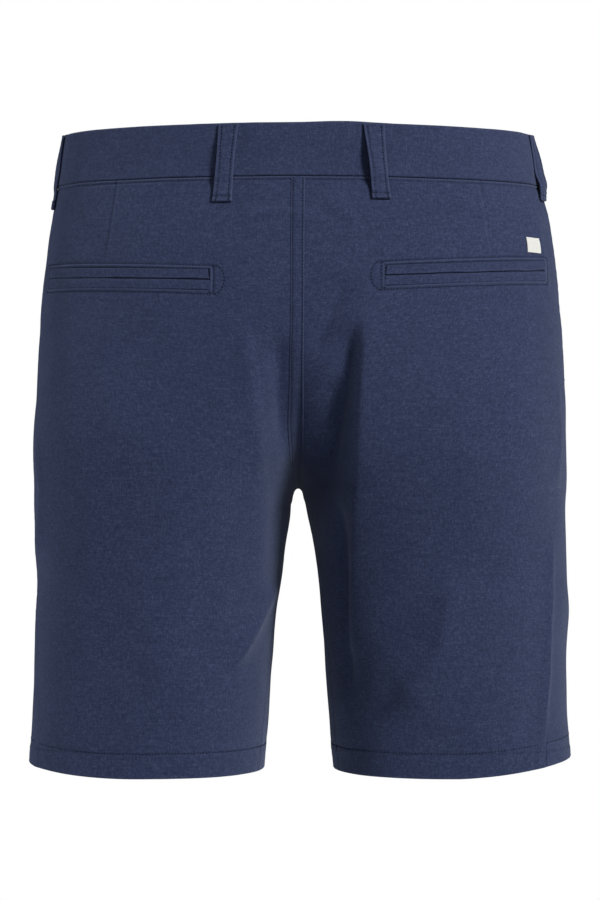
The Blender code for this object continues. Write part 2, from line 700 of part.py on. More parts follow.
def make_button(parent):
    """The waist button: a dished disc with four sewing holes."""
    radius = BUTTON_WIDTH / 2
    editor = turned_disc((
        (radius - 1.0, 0.0), (radius, 1.0), (radius, BUTTON_DEPTH - 0.7),
        (radius - 0.7, BUTTON_DEPTH), (radius - BUTTON_RIM, BUTTON_DEPTH),
        (radius - BUTTON_RIM - 0.8, BUTTON_DEPTH - BUTTON_DISH)))
    bmesh.ops.scale(editor, vec=(MM, MM, MM), verts=editor.verts[:])
    mesh = bpy.data.meshes.new("waist_button")
    editor.to_mesh(mesh)
    editor.free()
    mesh.materials.append(make_material("button_resin"))
    button = bpy.data.objects.new("waist_button", mesh)
    bpy.context.scene.collection.objects.link(button)

    cutter_mesh = bpy.data.meshes.new("button_holes")
    cutter_editor = bmesh.new()
    for x in (-BUTTON_HOLE_PLACE, BUTTON_HOLE_PLACE):
        for y in (-BUTTON_HOLE_PLACE, BUTTON_HOLE_PLACE):
            bmesh.ops.create_cone(
                cutter_editor, cap_ends=True, segments=HOLE_SIDES,
                radius1=BUTTON_HOLE / 2 * MM, radius2=BUTTON_HOLE / 2 * MM,
                depth=4 * BUTTON_DEPTH * MM, matrix=Matrix.Translation((x * MM, y * MM, 0)))
    cutter_editor.to_mesh(cutter_mesh)
    cutter_editor.free()
    cutter = bpy.data.objects.new("button_holes", cutter_mesh)
    bpy.context.scene.collection.objects.link(cutter)
    cutter.hide_render = True
    cutter.display_type = "WIRE"
    cutter.parent = button
    holes = button.modifiers.new("holes", "BOOLEAN")
    holes.operation = "DIFFERENCE"
    holes.solver = "EXACT"
    holes.object = cutter

    turn = turn_at("front", BUTTON_PLACE[0], BUTTON_PLACE[1])
    seat = ring_point(turn, BUTTON_PLACE[1], WAISTBAND_PROUD + BUTTON_SHANK)
    ahead = ring_point(turn, BUTTON_PLACE[1], WAISTBAND_PROUD + BUTTON_SHANK + 1) - seat
    facing = Vector(ahead).to_track_quat("Z", "Y")
    button.matrix_world = Matrix.Translation(Vector(seat) * MM) @ facing.to_matrix().to_4x4()
    button.parent = parent


# ---------------------------------------------------------------- the garment

def clear_scene():
    """Remove every object that is already in the scene."""
    for item in list(bpy.data.objects):
        bpy.data.objects.remove(item, do_unlink=True)


def main():
    """Build every piece of the shorts."""
    clear_scene()
    shorts = bpy.data.objects.new("shorts", None)
    bpy.context.scene.collection.objects.link(shorts)
    for side, hand in ((-1, "left"), (1, "right")):
        make_back(side, f"back_{hand}", shorts)
        make_front(side, f"front_{hand}", shorts)
        make_pocket_facing(side, f"pocket_facing_{hand}", shorts)
        for edge in ("upper", "lower"):
            make_welt(side, hand, edge, shorts)
    make_waistband(shorts)
    make_fly_shield(shorts)
    for loop in named(LOOP_COLUMNS, LOOPS):
        make_loop(loop, shorts)
    make_label(shorts)
    make_button(shorts)


main()
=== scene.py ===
import json
from math import pi, radians

import bmesh
import bpy
import numpy as np
from bpy.props import FloatProperty, FloatVectorProperty, PointerProperty
from mathutils import Matrix, Vector

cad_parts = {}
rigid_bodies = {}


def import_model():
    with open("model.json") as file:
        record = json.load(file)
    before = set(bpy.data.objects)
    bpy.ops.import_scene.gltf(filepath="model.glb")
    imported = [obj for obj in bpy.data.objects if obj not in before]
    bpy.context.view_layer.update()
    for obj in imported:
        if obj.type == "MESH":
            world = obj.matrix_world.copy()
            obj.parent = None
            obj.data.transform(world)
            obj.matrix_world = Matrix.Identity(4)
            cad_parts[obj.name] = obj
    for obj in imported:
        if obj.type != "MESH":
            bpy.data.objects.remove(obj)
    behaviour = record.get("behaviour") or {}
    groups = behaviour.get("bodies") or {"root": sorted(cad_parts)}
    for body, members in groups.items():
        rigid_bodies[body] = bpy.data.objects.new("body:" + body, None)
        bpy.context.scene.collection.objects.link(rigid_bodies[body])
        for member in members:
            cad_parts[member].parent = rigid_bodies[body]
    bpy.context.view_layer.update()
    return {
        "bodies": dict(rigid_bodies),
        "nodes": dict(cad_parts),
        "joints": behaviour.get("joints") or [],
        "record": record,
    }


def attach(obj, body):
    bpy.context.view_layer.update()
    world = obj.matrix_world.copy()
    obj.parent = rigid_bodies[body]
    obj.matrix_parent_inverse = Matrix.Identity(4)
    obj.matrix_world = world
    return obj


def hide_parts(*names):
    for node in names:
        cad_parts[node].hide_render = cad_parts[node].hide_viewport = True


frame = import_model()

bl_info = {
    "name": "Bermuda Shorts",
    "version": (1, 0, 0),
    "blender": (4, 5, 0),
    "location": "3D View > Sidebar > Shorts",
    "description": "Sews a pair of filled-out bermuda shorts, piece by piece",
    "category": "Add Mesh",
}

# All sizes below are in millimetres. The wearer faces +Y, +X is the wearer's right, +Z is up and
# the origin is the centre of the waistband. Meshes are written in metres, and the flat cuts are in
# metres too.
MM = 0.001
BODY = "root"

# ---------------------------------------------------------------- the cut, as in the solids
SEAM_GAP = 0.3
BAND_TOP = 20.3
BAND_SEAM = -19.7
BAND_SEAM_DIP = 0.4
DIP_FADE = 80.0
CROTCH = -254.0
HEM = -470.0
HEM_DEPTH = 20.0
LEG_ROUNDNESS = 2.3
TORSO_ROUNDNESS = 2.35
LEGS_START = -60.0
LEGS_FULL = -236.0
CROTCH_Y = 4.0
FULL_TURN = 4.0

SECTION_COLUMNS = (
    "level", "left", "right", "gap_left", "gap_right", "crown", "back", "front", "side")
SECTIONS = (
    (20.3, 180.8, 180.6, -120.0, -120.0, 60.0, 86.0, 84.0, 0.0),
    (-18.0, 186.4, 187.2, -110.0, -110.0, 66.0, 89.0, 87.0, 0.0),
    (-42.0, 190.4, 193.4, -103.0, -103.0, 71.0, 97.5, 93.5, -1.0),
    (-65.0, 194.0, 197.4, -96.0, -96.0, 77.0, 105.5, 99.0, -2.0),
    (-100.0, 197.8, 201.2, -84.0, -84.0, 85.0, 115.5, 104.5, -4.0),
    (-140.0, 200.4, 204.4, -66.0, -66.0, 93.0, 122.5, 106.5, -6.0),
    (-182.0, 202.4, 205.8, -43.0, -43.0, 99.0, 125.5, 105.0, -8.0),
    (-229.0, 204.6, 206.9, -13.5, -13.5, 103.0, 123.5, 100.5, -9.0),
    (-254.0, 203.6, 206.9, 0.0, 0.0, 104.5, 120.5, 97.0, -10.0),
    (-264.0, 203.4, 206.5, 4.3, 3.8, 105.3, 119.1, 95.6, -10.4),
    (-276.0, 203.3, 206.2, 5.9, 6.7, 106.5, 117.0, 93.8, -11.0),
    (-299.0, 203.0, 206.3, 9.8, 12.0, 109.0, 113.2, 90.5, -12.0),
    (-323.0, 201.2, 207.3, 13.1, 15.2, 110.5, 109.8, 87.3, -12.0),
    (-346.0, 202.5, 208.3, 16.5, 17.6, 112.0, 106.8, 84.0, -12.0),
    (-381.0, 203.4, 206.8, 19.6, 20.3, 113.5, 102.6, 79.0, -13.0),
    (-428.0, 205.2, 207.2, 23.0, 23.4, 115.5, 97.8, 72.5, -13.0),
    (-470.0, 207.7, 209.7, 26.4, 26.9, 118.5, 94.0, 67.0, -13.0),
)
# How far the band hangs lower at the back's middle, and how much more towards its corners; the
# distances from the centre between which that grows, and how far from the front it starts
CORNER_FALL = (0.5, 1.5)
CORNER_SPAN = (10.0, 150.0)
CORNER_DEPTH = 28.0
# The inner legs hollow out under the crotch: depths, and the distances below it where each starts
# and is full. The hollow reaches over the last share of the way round.
HOLLOWS = ((0.8, 34.0, 10.0), (1.4, 11.0, 1.0))
HOLLOW_FADE = 2.0
HOLLOW_START = 0.89
HEM_TILT = {-1: (5.5, 2.0), 1: (9.7, 1.4)}
TILT_FADE = 90.0
SEAM_COLUMNS = ("level", "left", "right", "inseam")
SEAMS = (
    (20.3, 0.00, 0.10, 0.00),
    (-100.0, 0.00, 0.09, 0.00),
    (-200.0, 0.01, 0.12, 0.00),
    (-254.0, 0.02, 0.15, 0.00),
    (-300.0, 0.05, 0.18, 0.03),
    (-345.0, 0.08, 0.21, 0.07),
    (-470.0, 0.15, 0.25, 0.12),
)

# Creases: a path of three points as seen from the back (x, z), the widths on its left and right
# (for a path that runs down), its height (a trough is negative) and how blunt its crest is.
CREASE_COLUMNS = ("face", "x0", "z0", "x1", "z1", "x2", "z2", "left", "right", "height", "blunt")
CREASES = (
    ("back", -44, -118, -34, -186, -27, -254, 18, 9, 4.4, 4),
    ("back", -30, -236, -29, -290, -31, -352, 16, 9, 3.2, 5),
    ("back", 50, -114, 47, -188, 45, -276, 12, 28, 7.5, 2.0),
    ("back", 45, -240, 44, -312, 38, -396, 10, 20, 7.0, 1.6),
    ("back", 42, -126, 33, -182, 12, -248, 13, 6.5, -9.0, 3.5),
    ("back", 27, -168, 26, -212, 20, -272, 14, 12, -6.0, 5),
    ("back", 28, -252, 33, -320, 38, -420, 9, 6, -8.0, 3.5),
    ("back", 11, -300, 15, -345, 17, -400, 6, 6, 2.6, 4),
    ("back", -15, -134, -13, -181, -7, -232, 10, 7, -6.0, 3.5),
    ("back", 38, -96, 25, -124, 10, -158, 8, 6, -3.2, 3),
    ("back", -17, -322, -31, -354, -52, -394, 10, 5, 5.0, 2.2),
    ("back", 114, -306, 106, -372, 68, -426, 13, 44, 7.0, 3),
    ("back", 84, -400, 60, -418, 34, -420, 12, 14, -2.4, 6),
    ("back", -48, -50, -14, -49, 24, -53, 6, 4, 2.3, 2),
    ("back", -40, -64, -20, -60, -6, -66, 5, 4, 1.5, 2),
    ("back", 12, -36, 30, -44, 46, -60, 4, 6, 1.5, 2),
    ("back", -198, -205, -192, -256, -198, -316, 3, 6, 3.4, 0.8),
    ("back", 180, -36, 185, -72, 190, -116, 6, 3, 1.6, 1.0),
    ("back", 194, -166, 197, -210, 193, -262, 5, 3, 2.2, 0.8),
    ("back", 190, -276, 187.5, -344, 183, -462, 5, 3, 3.0, 0.8),
    ("back", -120, -290, -112, -352, -96, -410, 18, 18, 1.3, 8),
    ("back", -78, -270, -70, -330, -74, -396, 14, 14, -1.5, 8),
    ("back", 150, -150, 142, -190, 120, -226, 16, 16, -1.3, 8),
    ("back", -140, -140, -128, -180, -104, -214, 16, 16, -1.2, 8),
    ("back", -150, -380, -138, -410, -120, -440, 12, 12, 1.1, 6),
    ("back", -176, -30, -168, -52, -150, -78, 9, 9, -0.9, 5),
    ("front", -14, -226, -52, -206, -96, -192, 8, 8, -2.4, 5),
    ("front", 16, -228, 56, -210, 98, -200, 8, 8, -2.2, 5),
    ("front", -16, -244, -60, -240, -104, -238, 8, 8, 2.0, 3),
    ("front", 18, -245, 62, -244, 102, -244, 8, 8, 1.8, 3),
    ("front", -40, -250, -44, -320, -42, -400, 13, 18, 3.2, 4),
    ("front", 42, -250, 46, -318, 44, -396, 18, 13, 3.0, 4),
    ("front", -78, -262, -92, -330, -98, -410, 15, 15, 1.8, 8),
    ("front", 80, -258, 96, -322, 104, -396, 14, 14, 1.8, 8),
    ("front", -124, -266, -132, -330, -130, -392, 14, 14, -1.6, 8),
    ("front", 130, -262, 138, -326, 134, -402, 15, 15, -1.8, 8),
)
# Creases fade near seams, rise and die along their paths by these shares, and change from their
# left width to their right width over this distance
CREASE_EDGE = 0.10
CREASE_RISE = (-0.05, 0.22)
CREASE_DIE = (1.05, 0.78)
CREASE_SWAP = 2.0
CREST_FALL = 1.3
CENTRE_KEPT = 12.0
INSEAM_FADE = 60.0

# Soft unevenness of the cloth: direction and length of each wave, and its share of the height
WAVES = (
    ((0.9, 0.3, 0.5), 61.0, 0.34),
    ((-0.5, 0.4, 0.9), 43.0, 0.26),
    ((0.7, -0.6, -0.7), 33.0, 0.18),
    ((0.2, 0.8, 1.0), 24.0, 0.12),
    ((1.0, 0.2, -0.3), 18.0, 0.10),
)
WAVE_SHIFT = 1.7

# Heather of the yarns: cycles per metre across and down, a shift, and the amount
HEATHER = (
    (900.0, 300.0, 0.0, 2.0),
    (300.0, 900.0, 7.3, 1.8),
    (520.0, 80.0, 3.1, 0.8),
    (80.0, 520.0, 5.7, 0.6),
    (1300.0, 1300.0, 9.1, 1.6),
    (26.0, 26.0, 1.9, 0.22),
)

# Cloth and edges
CLOTH = 1.2
BAND_CLOTH = 2.4
BAND_PROUD = 0.9
BUTT_GAP = 0.02
RIM_SHARE = 0.12
SHARP_EDGE = 50.0
COARSE = 2.6
FRONT_COARSE = 3.4
HANDS = ((-1, "left"), (1, "right"))
# Small steps for slopes: along the way round, down the cloth, and how near to a leg's inner edge
# (a way of 1) a slope is taken
WAY_STEP = 0.003
EDGE_STEP = 0.004
CLOTH_STEP = 0.01
LEVEL_STEP = 0.6
WAY_END = 0.996
ABOVE_CROTCH = 6.0
# How often a search halves its range
HALVINGS = 30

# Each panel's flat cut in metres: widest width, length and area
PANEL_CUTS = (
    ("back", -1, "left", 0.350, 0.475, 0.1216),
    ("back", 1, "right", 0.305, 0.475, 0.1080),
    ("front", -1, "left", 0.350, 0.475, 0.1336),
    ("front", 1, "right", 0.390, 0.475, 0.1487),
)

# Seams and pockets
SIDE_ALLOWANCE = 8.5
SIDE_RISE = 0.32
HEM_ROW = -451.0
HEM_RISE = 0.28
# Rows of points are closer in these stretches below the waist seam (start, end, pitch), over the
# back pockets, and at these heights above the crotch
WAIST_ROWS = ((0.0, 0.8, 0.25), (0.8, 4.2, 0.45))
POCKET_ROWS = (59.0, 96.0, 0.75)
CROTCH_ROWS = (4.0, 2.4, 1.3, 0.6, 0.22, 0.05)
# Widths over which a back and a front panel's columns are spread, and a place on the back's dart
BACK_WIDTH = 262.0
FRONT_WIDTH = 220.0
DART_MIDDLE = (141.2, -55.0)
DARTS = {-1: ((137.0, -22.0), (145.5, -88.0), 0.60), 1: ((137.0, -22.0), (145.5, -84.0), 0.30)}
WELT_ENDS = {-1: ((65.4, -99.4), (189.7, -94.2)), 1: ((64.0, -96.2), (186.5, -88.9))}
WELT_WIDTH = 7.3
WELT_SLIT = 0.8
WELT_CLOTH = 1.1
WELT_SUNK = 0.55
WELT_TRIM = 0.2
WELT_GAPE = 0.28
WELT_BULGE = 0.22
POCKET_ROW = 2.9
POCKET_END = 7.8
POCKET_HALF = WELT_WIDTH + WELT_SLIT / 2 + 0.15
BACK_STRIP = 5.0
BACK_ROW = 3.6
BACK_STRIP_CLOTH = 0.55
# Rows of points along the seat seam, behind and in front; how far the seam lies left of the centre
# at each level, and how far it is drawn in at the crotch
SEAT_ROWS = (170, 70)
SEAT_DRIFT = ((-241, 0.9), (-228, 1.1), (-205, 1.3), (-150, 1.1), (-115, 0.7), (-80, 0.7),
              (-41, 0.4), (-20, 0.2))
SEAT_SUNK = (0.45, 20.0)
SEAT_TURN = -236.0
SEAT_LOWEST = -300.0
# The painted shade beside the crotch: strength, the distances where it ends and is full, its
# centre, and how fast it fades to the left, to the right and along the seam
CROTCH_SHADE = 1.0
SHADE_REACH = (34.0, 5.0)
SHADE_CENTRE = (2.0, CROTCH - 2.0)
SHADE_FALL = (2.4, 0.8, 0.62)

# Relief beside a sewn line, and the cloth's lightening or darkening there: the amount, the
# distance from the line at which it is greatest, and its width. Lighter above 0, for rubbing on
# ridges, folds and edges; darker below 0, for painted shade in seams, ditches and stitch rows.
WAIST_RELIEF = ((0.65, 1.25, 0.7), (-0.45, 2.95, 0.65))
WAIST_WEAR_AND_SHADE = ((0.60, 1.25, 0.55), (-0.95, 0.0, 0.55))
DITCH_SHADE = (-0.55, 2.95, 0.5)
HEM_RELIEF = ((-0.24, 0.0, 0.9),)
HEM_ROW_SHADE = ((-0.34, 0.0, 0.6),)
HEM_FOLD_WEAR = ((0.20, 0.0, 1.2),)
POCKET_RELIEF = ((0.62, 1.15, 0.8), (-0.34, POCKET_ROW, 0.75))
POCKET_WEAR_AND_SHADE = ((0.50, 1.15, 0.6), (-0.80, -0.1, 0.45), (-0.60, POCKET_ROW, 0.55))
POCKET_END_RELIEF = ((-0.22, 0.0, 0.9),)
POCKET_END_SHADE = ((-0.55, 0.0, 0.6),)
DART_RELIEF = ((-1.0, 0.0, 0.7), (0.5, -2.2, 2.0))
DART_WEAR_AND_SHADE = ((-0.50, 0.0, 0.7), (0.30, -1.8, 1.1))
BAND_TOP_WEAR = ((0.22, 0.0, 1.5),)
BAND_FOOT_SHADE = ((-0.45, 0.0, 0.8),)
WELT_WEAR_AND_SHADE = ((0.25, 1.0, 0.5), (-0.70, 0.0, 0.4))
STRIP_RELIEF = ((-0.20, BACK_STRIP - BACK_ROW, 0.5),)
STRIP_WEAR_AND_SHADE = ((0.50, 0.3, 0.35), (-0.90, BACK_STRIP - BACK_ROW, 0.45))

# Puckers along a sewn line: height, length, shift, and the distance and width as above
WAIST_PUCKER = (0.14, 7.3, 0.0, 2.5, 3.0)
SIDE_PUCKER = (0.10, 9.0, 0.0, 0.0, 7.0)
INNER_PUCKER = (0.10, 8.0, 1.0, 0.0, 7.0)
HEM_PUCKER = (0.22, 11.0, 0.0, -5.0, 8.0)
POCKET_PUCKER = (0.10, 6.5, 0.0, 3.2, 2.2)
BAND_PUCKER = (0.12, 8.1, 0.0, 2.0, 4.0)

# Front: pocket mouths and fly
MOUTH_TOP = 0.30
MOUTH_END = -176.0
MOUTH_ROWS = (1.6, 7.4)
MOUTH_TACK = (0.6, 8.4)
FACING_OVERLAP = 0.13
FACING_DEPTH = 0.35
# The pocket facing is painted darker all over: painted shade deep in the mouth.
FACING_SHADE = -0.12
FLY_END = -168.0
FLY_OVERLAP = 4.0
FLY_RISE = 9.0
FLY_FLAT = 1.0
FLY_FADE = 13.2
# Columns of points over the fly's lap, and the last ones' distances from its edge
LAP_COLUMNS = 16
LAP_EDGE = (0.8, 0.35, 0.1)
LAYER_GAP = 0.3
SHIELD_REACH = (-32.0, 8.0)
SHIELD_CLOTH = 1.6
SHIELD_DEPTH = 0.8
SHIELD_DROP = 1.5
UNDERLAP = 38.0
UNDERLAP_BEND = (20.0, 9.0)
# The sewn bend beside the fly and the tack at its end, as seen from the back
FLY_ROW = ((-36.0, BAND_SEAM - 1.0), (-36.0, -128.0), (-34.0, -142.0), (-28.0, -154.0),
           (-18.0, -163.5), (-6.0, -170.0))
FLY_TACK = (-9.0, -160.0, -169.0)

# The band's top rises a little beside the middle of the back: height, place and width
BAND_RISE = (1.1, 34.0, 26.0)

# Loops sit at a turn round the band (0 the front, 1 the right, 2 the back, 3 the left)
LOOP_COLUMNS = ("place", "top_turn", "bottom_turn", "top_width", "bottom_width", "end", "bow",
                "low_bow", "twist")
LOOPS = (
    ("back_left", 2.182, 2.189, 15.0, 14.2, -40.0, 2.6, 0.0, 0.5),
    ("back_right", 1.803, 1.796, 16.0, 13.4, -37.5, 4.2, 0.0, 1.1),
    ("side_left", 2.915, 2.90, 14.0, 14.0, -39.0, 0.4, 0.0, 0.8),
    ("side_right", 1.14, 1.16, 14.0, 14.0, -32.5, 1.2, 2.2, -1.7),
    ("front_left", 3.66, 3.655, 14.5, 14.5, -39.0, 2.6, 0.0, 0.3),
    ("front_right", 0.34, 0.345, 14.5, 14.5, -39.0, 2.8, 0.0, -0.3),
)
LOOP_TOP = 19.4
LOOP_CLOTH = 1.6
LOOP_FOLD = 2.3
LOOP_FOLD_ENDS = (7.6, 6.2)
LOOP_WAIST = 1.3
LOOP_FLARE = 0.7
LOOP_FLARE_ENDS = (6.0, 2.0)
LOOP_ROW = 2.7
LOOP_END_ROWS = (4.0, 2.6)
LOOP_EDGE_RELIEF = ((-0.26, LOOP_ROW, 0.7),)
LOOP_END_RELIEF = ((-0.30, LOOP_END_ROWS[0], 0.6),)
# Painted shade darkens the loops' stitch rows; their edges and lower ends are lighter where
# rubbed.
LOOP_EDGE_WEAR_AND_SHADE = ((0.42, 0.5, 0.6), (-0.42, LOOP_ROW, 0.5))
LOOP_END_WEAR_AND_SHADE = ((0.25, 1.0, 1.0), (-0.30, LOOP_END_ROWS[0], 0.5))

LABEL_PLACE = (177.6, -69.4)
LABEL_SIZE = (14.7, 12.0)
LABEL_CLOTH = 0.6
LABEL_LEAN = (0.05, -0.04)

BUTTON_PLACE = (-13.0, 1.5)
BUTTON_WIDTH = 17.0
BUTTON_DEPTH = 2.8
BUTTON_DISH = 0.9
BUTTON_SHANK = 0.7
BUTTON_RIM = 2.2
BUTTON_HOLE = 2.0
BUTTON_HOLE_PLACE = 1.9
BUTTON_SIDES = 64
BUTTONHOLE = (20.0, 1.35)
# Threads through the button's holes: their spread, width, height in the dish and dive at the holes
STRAND_SHIFTS = (-0.38, 0.0, 0.38)
STRAND_WIDTH = 0.24
STRAND_LIFT = 0.28
STRAND_DIVE = 1.5

# Stitches: a thread's length as a share of the pitch and its height as one of its width; the
# length and depth of the dark mark of painted shade at a needle hole, as shares of its width; a
# tack's length in metres and its pitch as a share of the thread; and how much longer the waist
# seam's stitches are
STITCH_SHARE = 0.62
THREAD_HEIGHT = 0.75
HOLE_SHADE_LENGTH = 1.3
HOLE_SHADE_DEPTH = 0.32
TACK_LENGTH = 0.0021
TACK_PITCH = 1.1
WAIST_PITCH = 1.1
# How far the threads lie out from the cloth
HEM_LIFT = 0.04
ROW_LIFT = 0.05
POCKET_LIFT = 0.06
TACK_LIFT = 0.15
FLY_TACK_LIFT = 0.4

# Camera and stage, in metres
CAMERA_PLACE = (0.00125, -2.0, -0.225)
CAMERA_LENS = 102.564
SENSOR = 36.0
FLOOR_LEVEL = -0.95
FLOOR_REACH = 1.6
FLOOR_COLOUR = (0.86, 0.86, 0.86)
AIM = (0.0, 0.0, -0.22)
# Each lamp's place, width, power and colour
LAMPS = (
    ("key", (1.95, -1.95, 1.60), 0.9, 98.0, (1.0, 0.99, 0.97)),
    ("fill", (-2.95, 0.0, 0.4), 1.2, 38.0, (0.95, 0.97, 1.0)),
    ("far", (0.6, 2.4, 1.2), 1.8, 4.0, (1.0, 1.0, 1.0)),
)
# Colour and strength of the surroundings, as they light the cloth and as the camera sees them
SKY_LIGHT = ((0.94, 0.97, 1.0, 1.0), 0.11)
SKY_SEEN = ((1.0, 1.0, 1.0, 1.0), 1.0)


# ---------------------------------------------------------------- tables and curves

def columns(names, rows):
    """A table as one array for each named column, lowest level first."""
    return {name: np.array(values[::-1], float) for name, values in zip(names, zip(*rows))}


def named(names, rows):
    """A table as a dictionary for each row."""
    return [dict(zip(names, row)) for row in rows]


SECTION = columns(SECTION_COLUMNS, SECTIONS)
SEAM = columns(SEAM_COLUMNS, SEAMS)


def along(table, name, level):
    """A column's value at a level, on a smooth curve through the table's rows."""
    levels = table["level"]
    values = table[name]
    slopes = np.gradient(values, levels)
    level = np.clip(level, levels[0], levels[-1])
    low = np.clip(np.searchsorted(levels, level) - 1, 0, len(levels) - 2)
    span = levels[low + 1] - levels[low]
    t = (level - levels[low]) / span
    rise = values[low + 1] - values[low]
    bend_in = slopes[low] * span - rise
    bend_out = rise - slopes[low + 1] * span
    return values[low] + t * rise + t * (1 - t) * ((1 - t) * bend_in + t * bend_out)


def ease(start, end, value):
    """0 at start, 1 at end, with a soft change between."""
    t = np.clip((value - start) / (end - start), 0.0, 1.0)
    return t * t * (3.0 - 2.0 * t)


def bell(value, centre, width):
    """1 at the centre, fading to 0 on both sides."""
    return np.exp(-((value - centre) / width) ** 2)


def bells(value, rows):
    """The sum of bells from rows of (amount, centre, width)."""
    return sum(amount * bell(value, centre, width) for amount, centre, width in rows)


def rounded(angle, roundness):
    """Cosine and sine of a quarter turn on a squarish circle."""
    cosine = np.cos(angle)
    sine = np.sin(angle)
    reach = (np.abs(cosine) ** roundness + np.abs(sine) ** roundness) ** (-1.0 / roundness)
    return cosine * reach, sine * reach


def spread(length, fine=(), coarse=COARSE):
    """Places from 0 to length, closer together in each (start, end, pitch) stretch."""
    places = [0.0]
    while places[-1] < length:
        pitch = coarse
        for start, end, close in fine:
            away = max(start - places[-1], places[-1] - end, 0.0)
            pitch = min(pitch, close + 0.35 * away)
        places.append(places[-1] + pitch)
    return np.array(places) * (length / places[-1])


def lengths(points, axis):
    """Distance run along a grid of points, from 0."""
    steps = np.linalg.norm(np.diff(points, axis=axis), axis=-1)
    run = np.cumsum(steps, axis=axis)
    first = np.zeros_like(np.take(run, [0], axis=axis))
    return np.concatenate([first, run], axis=axis)


# ---------------------------------------------------------------- the cloth's surface

def leg_quarters(share, width, gap, crown, depth, side_line, inner_line):
    """A leg's section from its widest point (0) to its inner edge (1)."""
    outer_x, outer_y = rounded(np.clip(share, 0.0, 0.5) * pi, LEG_ROUNDNESS)
    cut = crown / (crown - np.minimum(gap, 0.0))
    last_turn = np.arctan2(cut, (1.0 - cut ** LEG_ROUNDNESS) ** (1.0 / LEG_ROUNDNESS))
    inner_y, inner_x = rounded(np.clip(share - 0.5, 0.0, 0.5) * 2 * last_turn, LEG_ROUNDNESS)
    outside = share < 0.5
    x = np.where(outside, crown + (width - crown) * outer_x, crown - (crown - gap) * inner_x)
    y = np.where(outside, side_line + (depth - side_line) * outer_y,
                 inner_line + (depth - inner_line) * inner_y)
    return x, y


def wrapped(way):
    """A way round the leg that has passed the front's inner edge, counted from the back's."""
    return np.where(way < -1.0, way + 2.0, way)


def base_point(side, way, level):
    """A point of the plain surface: way runs from the front's inner edge (-1) past the widest
    point (0) to the back's inner edge (1); below the crotch it goes on round."""
    way = wrapped(way)
    share = np.abs(way)
    width = along(SECTION, "left" if side < 0 else "right", level)
    depth = np.where(way >= 0, -along(SECTION, "back", level), along(SECTION, "front", level))
    side_line = along(SECTION, "side", level)
    inner_line = CROTCH_Y + (side_line - CROTCH_Y) * ease(CROTCH, HEM, level)
    torso_x, torso_y = rounded(share * pi / 2, TORSO_ROUNDNESS)
    torso_x = torso_x * width
    torso_y = side_line + torso_y * (depth - side_line)
    gap = along(SECTION, "gap_left" if side < 0 else "gap_right", level)
    crown = along(SECTION, "crown", level)
    leg_x, leg_y = leg_quarters(share, width, gap, crown, depth, side_line, inner_line)
    hollow = ease(CROTCH, CROTCH - HOLLOW_FADE, level) * sum(
        depth * ease(CROTCH - start, CROTCH - full, level) for depth, start, full in HOLLOWS)
    leg_x = leg_x + hollow * ease(HOLLOW_START, 1.0, share)
    legs = ease(LEGS_START, LEGS_FULL, level)
    x = torso_x + (leg_x - torso_x) * legs
    y = torso_y + (leg_y - torso_y) * legs
    near_band = np.clip(1 - (BAND_SEAM - level) / DIP_FADE, 0, 1)
    dip = BAND_SEAM_DIP * np.cos(pi * share) * near_band
    dip = dip * np.clip((BAND_TOP - level) / (BAND_TOP - BAND_SEAM), 0, 1)
    least, more = CORNER_FALL
    fall = (least + more * ease(*CORNER_SPAN, x)) * ease(0.0, CORNER_DEPTH, -y)
    dip = dip - fall * near_band
    outward = np.clip((x - crown) / (width - crown), 0.0, 1.0)
    rise, bend = HEM_TILT[side]
    tilt = rise * outward ** bend * ease(HEM + TILT_FADE, HEM, level)
    return np.stack([side * (x + BUTT_GAP / 2), y, level + dip + tilt], axis=-1)


def surface_normal(side, way, level):
    """Outward unit normal of the plain surface."""
    way, level = np.broadcast_arrays(np.asarray(way, float), np.asarray(level, float))
    way = np.clip(way, -1.9, WAY_END)
    way = np.where(np.abs(way + 1.0) < 1.0 - WAY_END, -WAY_END, way)
    level = np.where((level < CROTCH) & (level > CROTCH - LEVEL_STEP), CROTCH - LEVEL_STEP, level)
    round_it = base_point(side, way + WAY_STEP, level) - base_point(side, way - WAY_STEP, level)
    down_it = base_point(side, way, level - LEVEL_STEP) - base_point(side, way, level + LEVEL_STEP)
    # Just above the crotch a fixed way slides along the cloth, so the slope is taken at a fixed x.
    above = (level >= CROTCH) & (level < CROTCH + ABOVE_CROTCH)
    if above.any():
        here = base_point(side, way[above], level[above])
        higher = level[above] + 2 * LEVEL_STEP
        x = np.abs(here[..., 0])
        straight = np.where(way[above] >= 0, way_at(side, "back", x, higher),
                            way_at(side, "front", x, higher))
        down_it[above] = here - base_point(side, straight, higher)
    normal = np.cross(round_it, down_it) * side
    return normal / np.linalg.norm(normal, axis=-1, keepdims=True)


def path_distance(x, z, crease):
    """Signed distance from a crease's path, and the share of the path passed."""
    nearest = np.full(np.shape(x), np.inf)
    hand = np.ones(np.shape(x))
    passed = np.zeros(np.shape(x))
    path = np.array([(crease["x" + point], crease["z" + point]) for point in "012"], float)
    for part in (0, 1):
        start = path[part]
        run = path[part + 1] - start
        share = ((x - start[0]) * run[0] + (z - start[1]) * run[1]) / (run @ run)
        share = np.clip(share, 0.0, 1.0)
        away = np.hypot(x - start[0] - share * run[0], z - start[1] - share * run[1])
        turn = run[0] * (z - start[1]) - run[1] * (x - start[0])
        closer = away < nearest
        passed = np.where(closer, (part + share) / 2, passed)
        hand = np.where(closer, np.tanh(turn / np.hypot(*run) / CREASE_SWAP), hand)
        nearest = np.minimum(nearest, away)
    return nearest, hand, passed


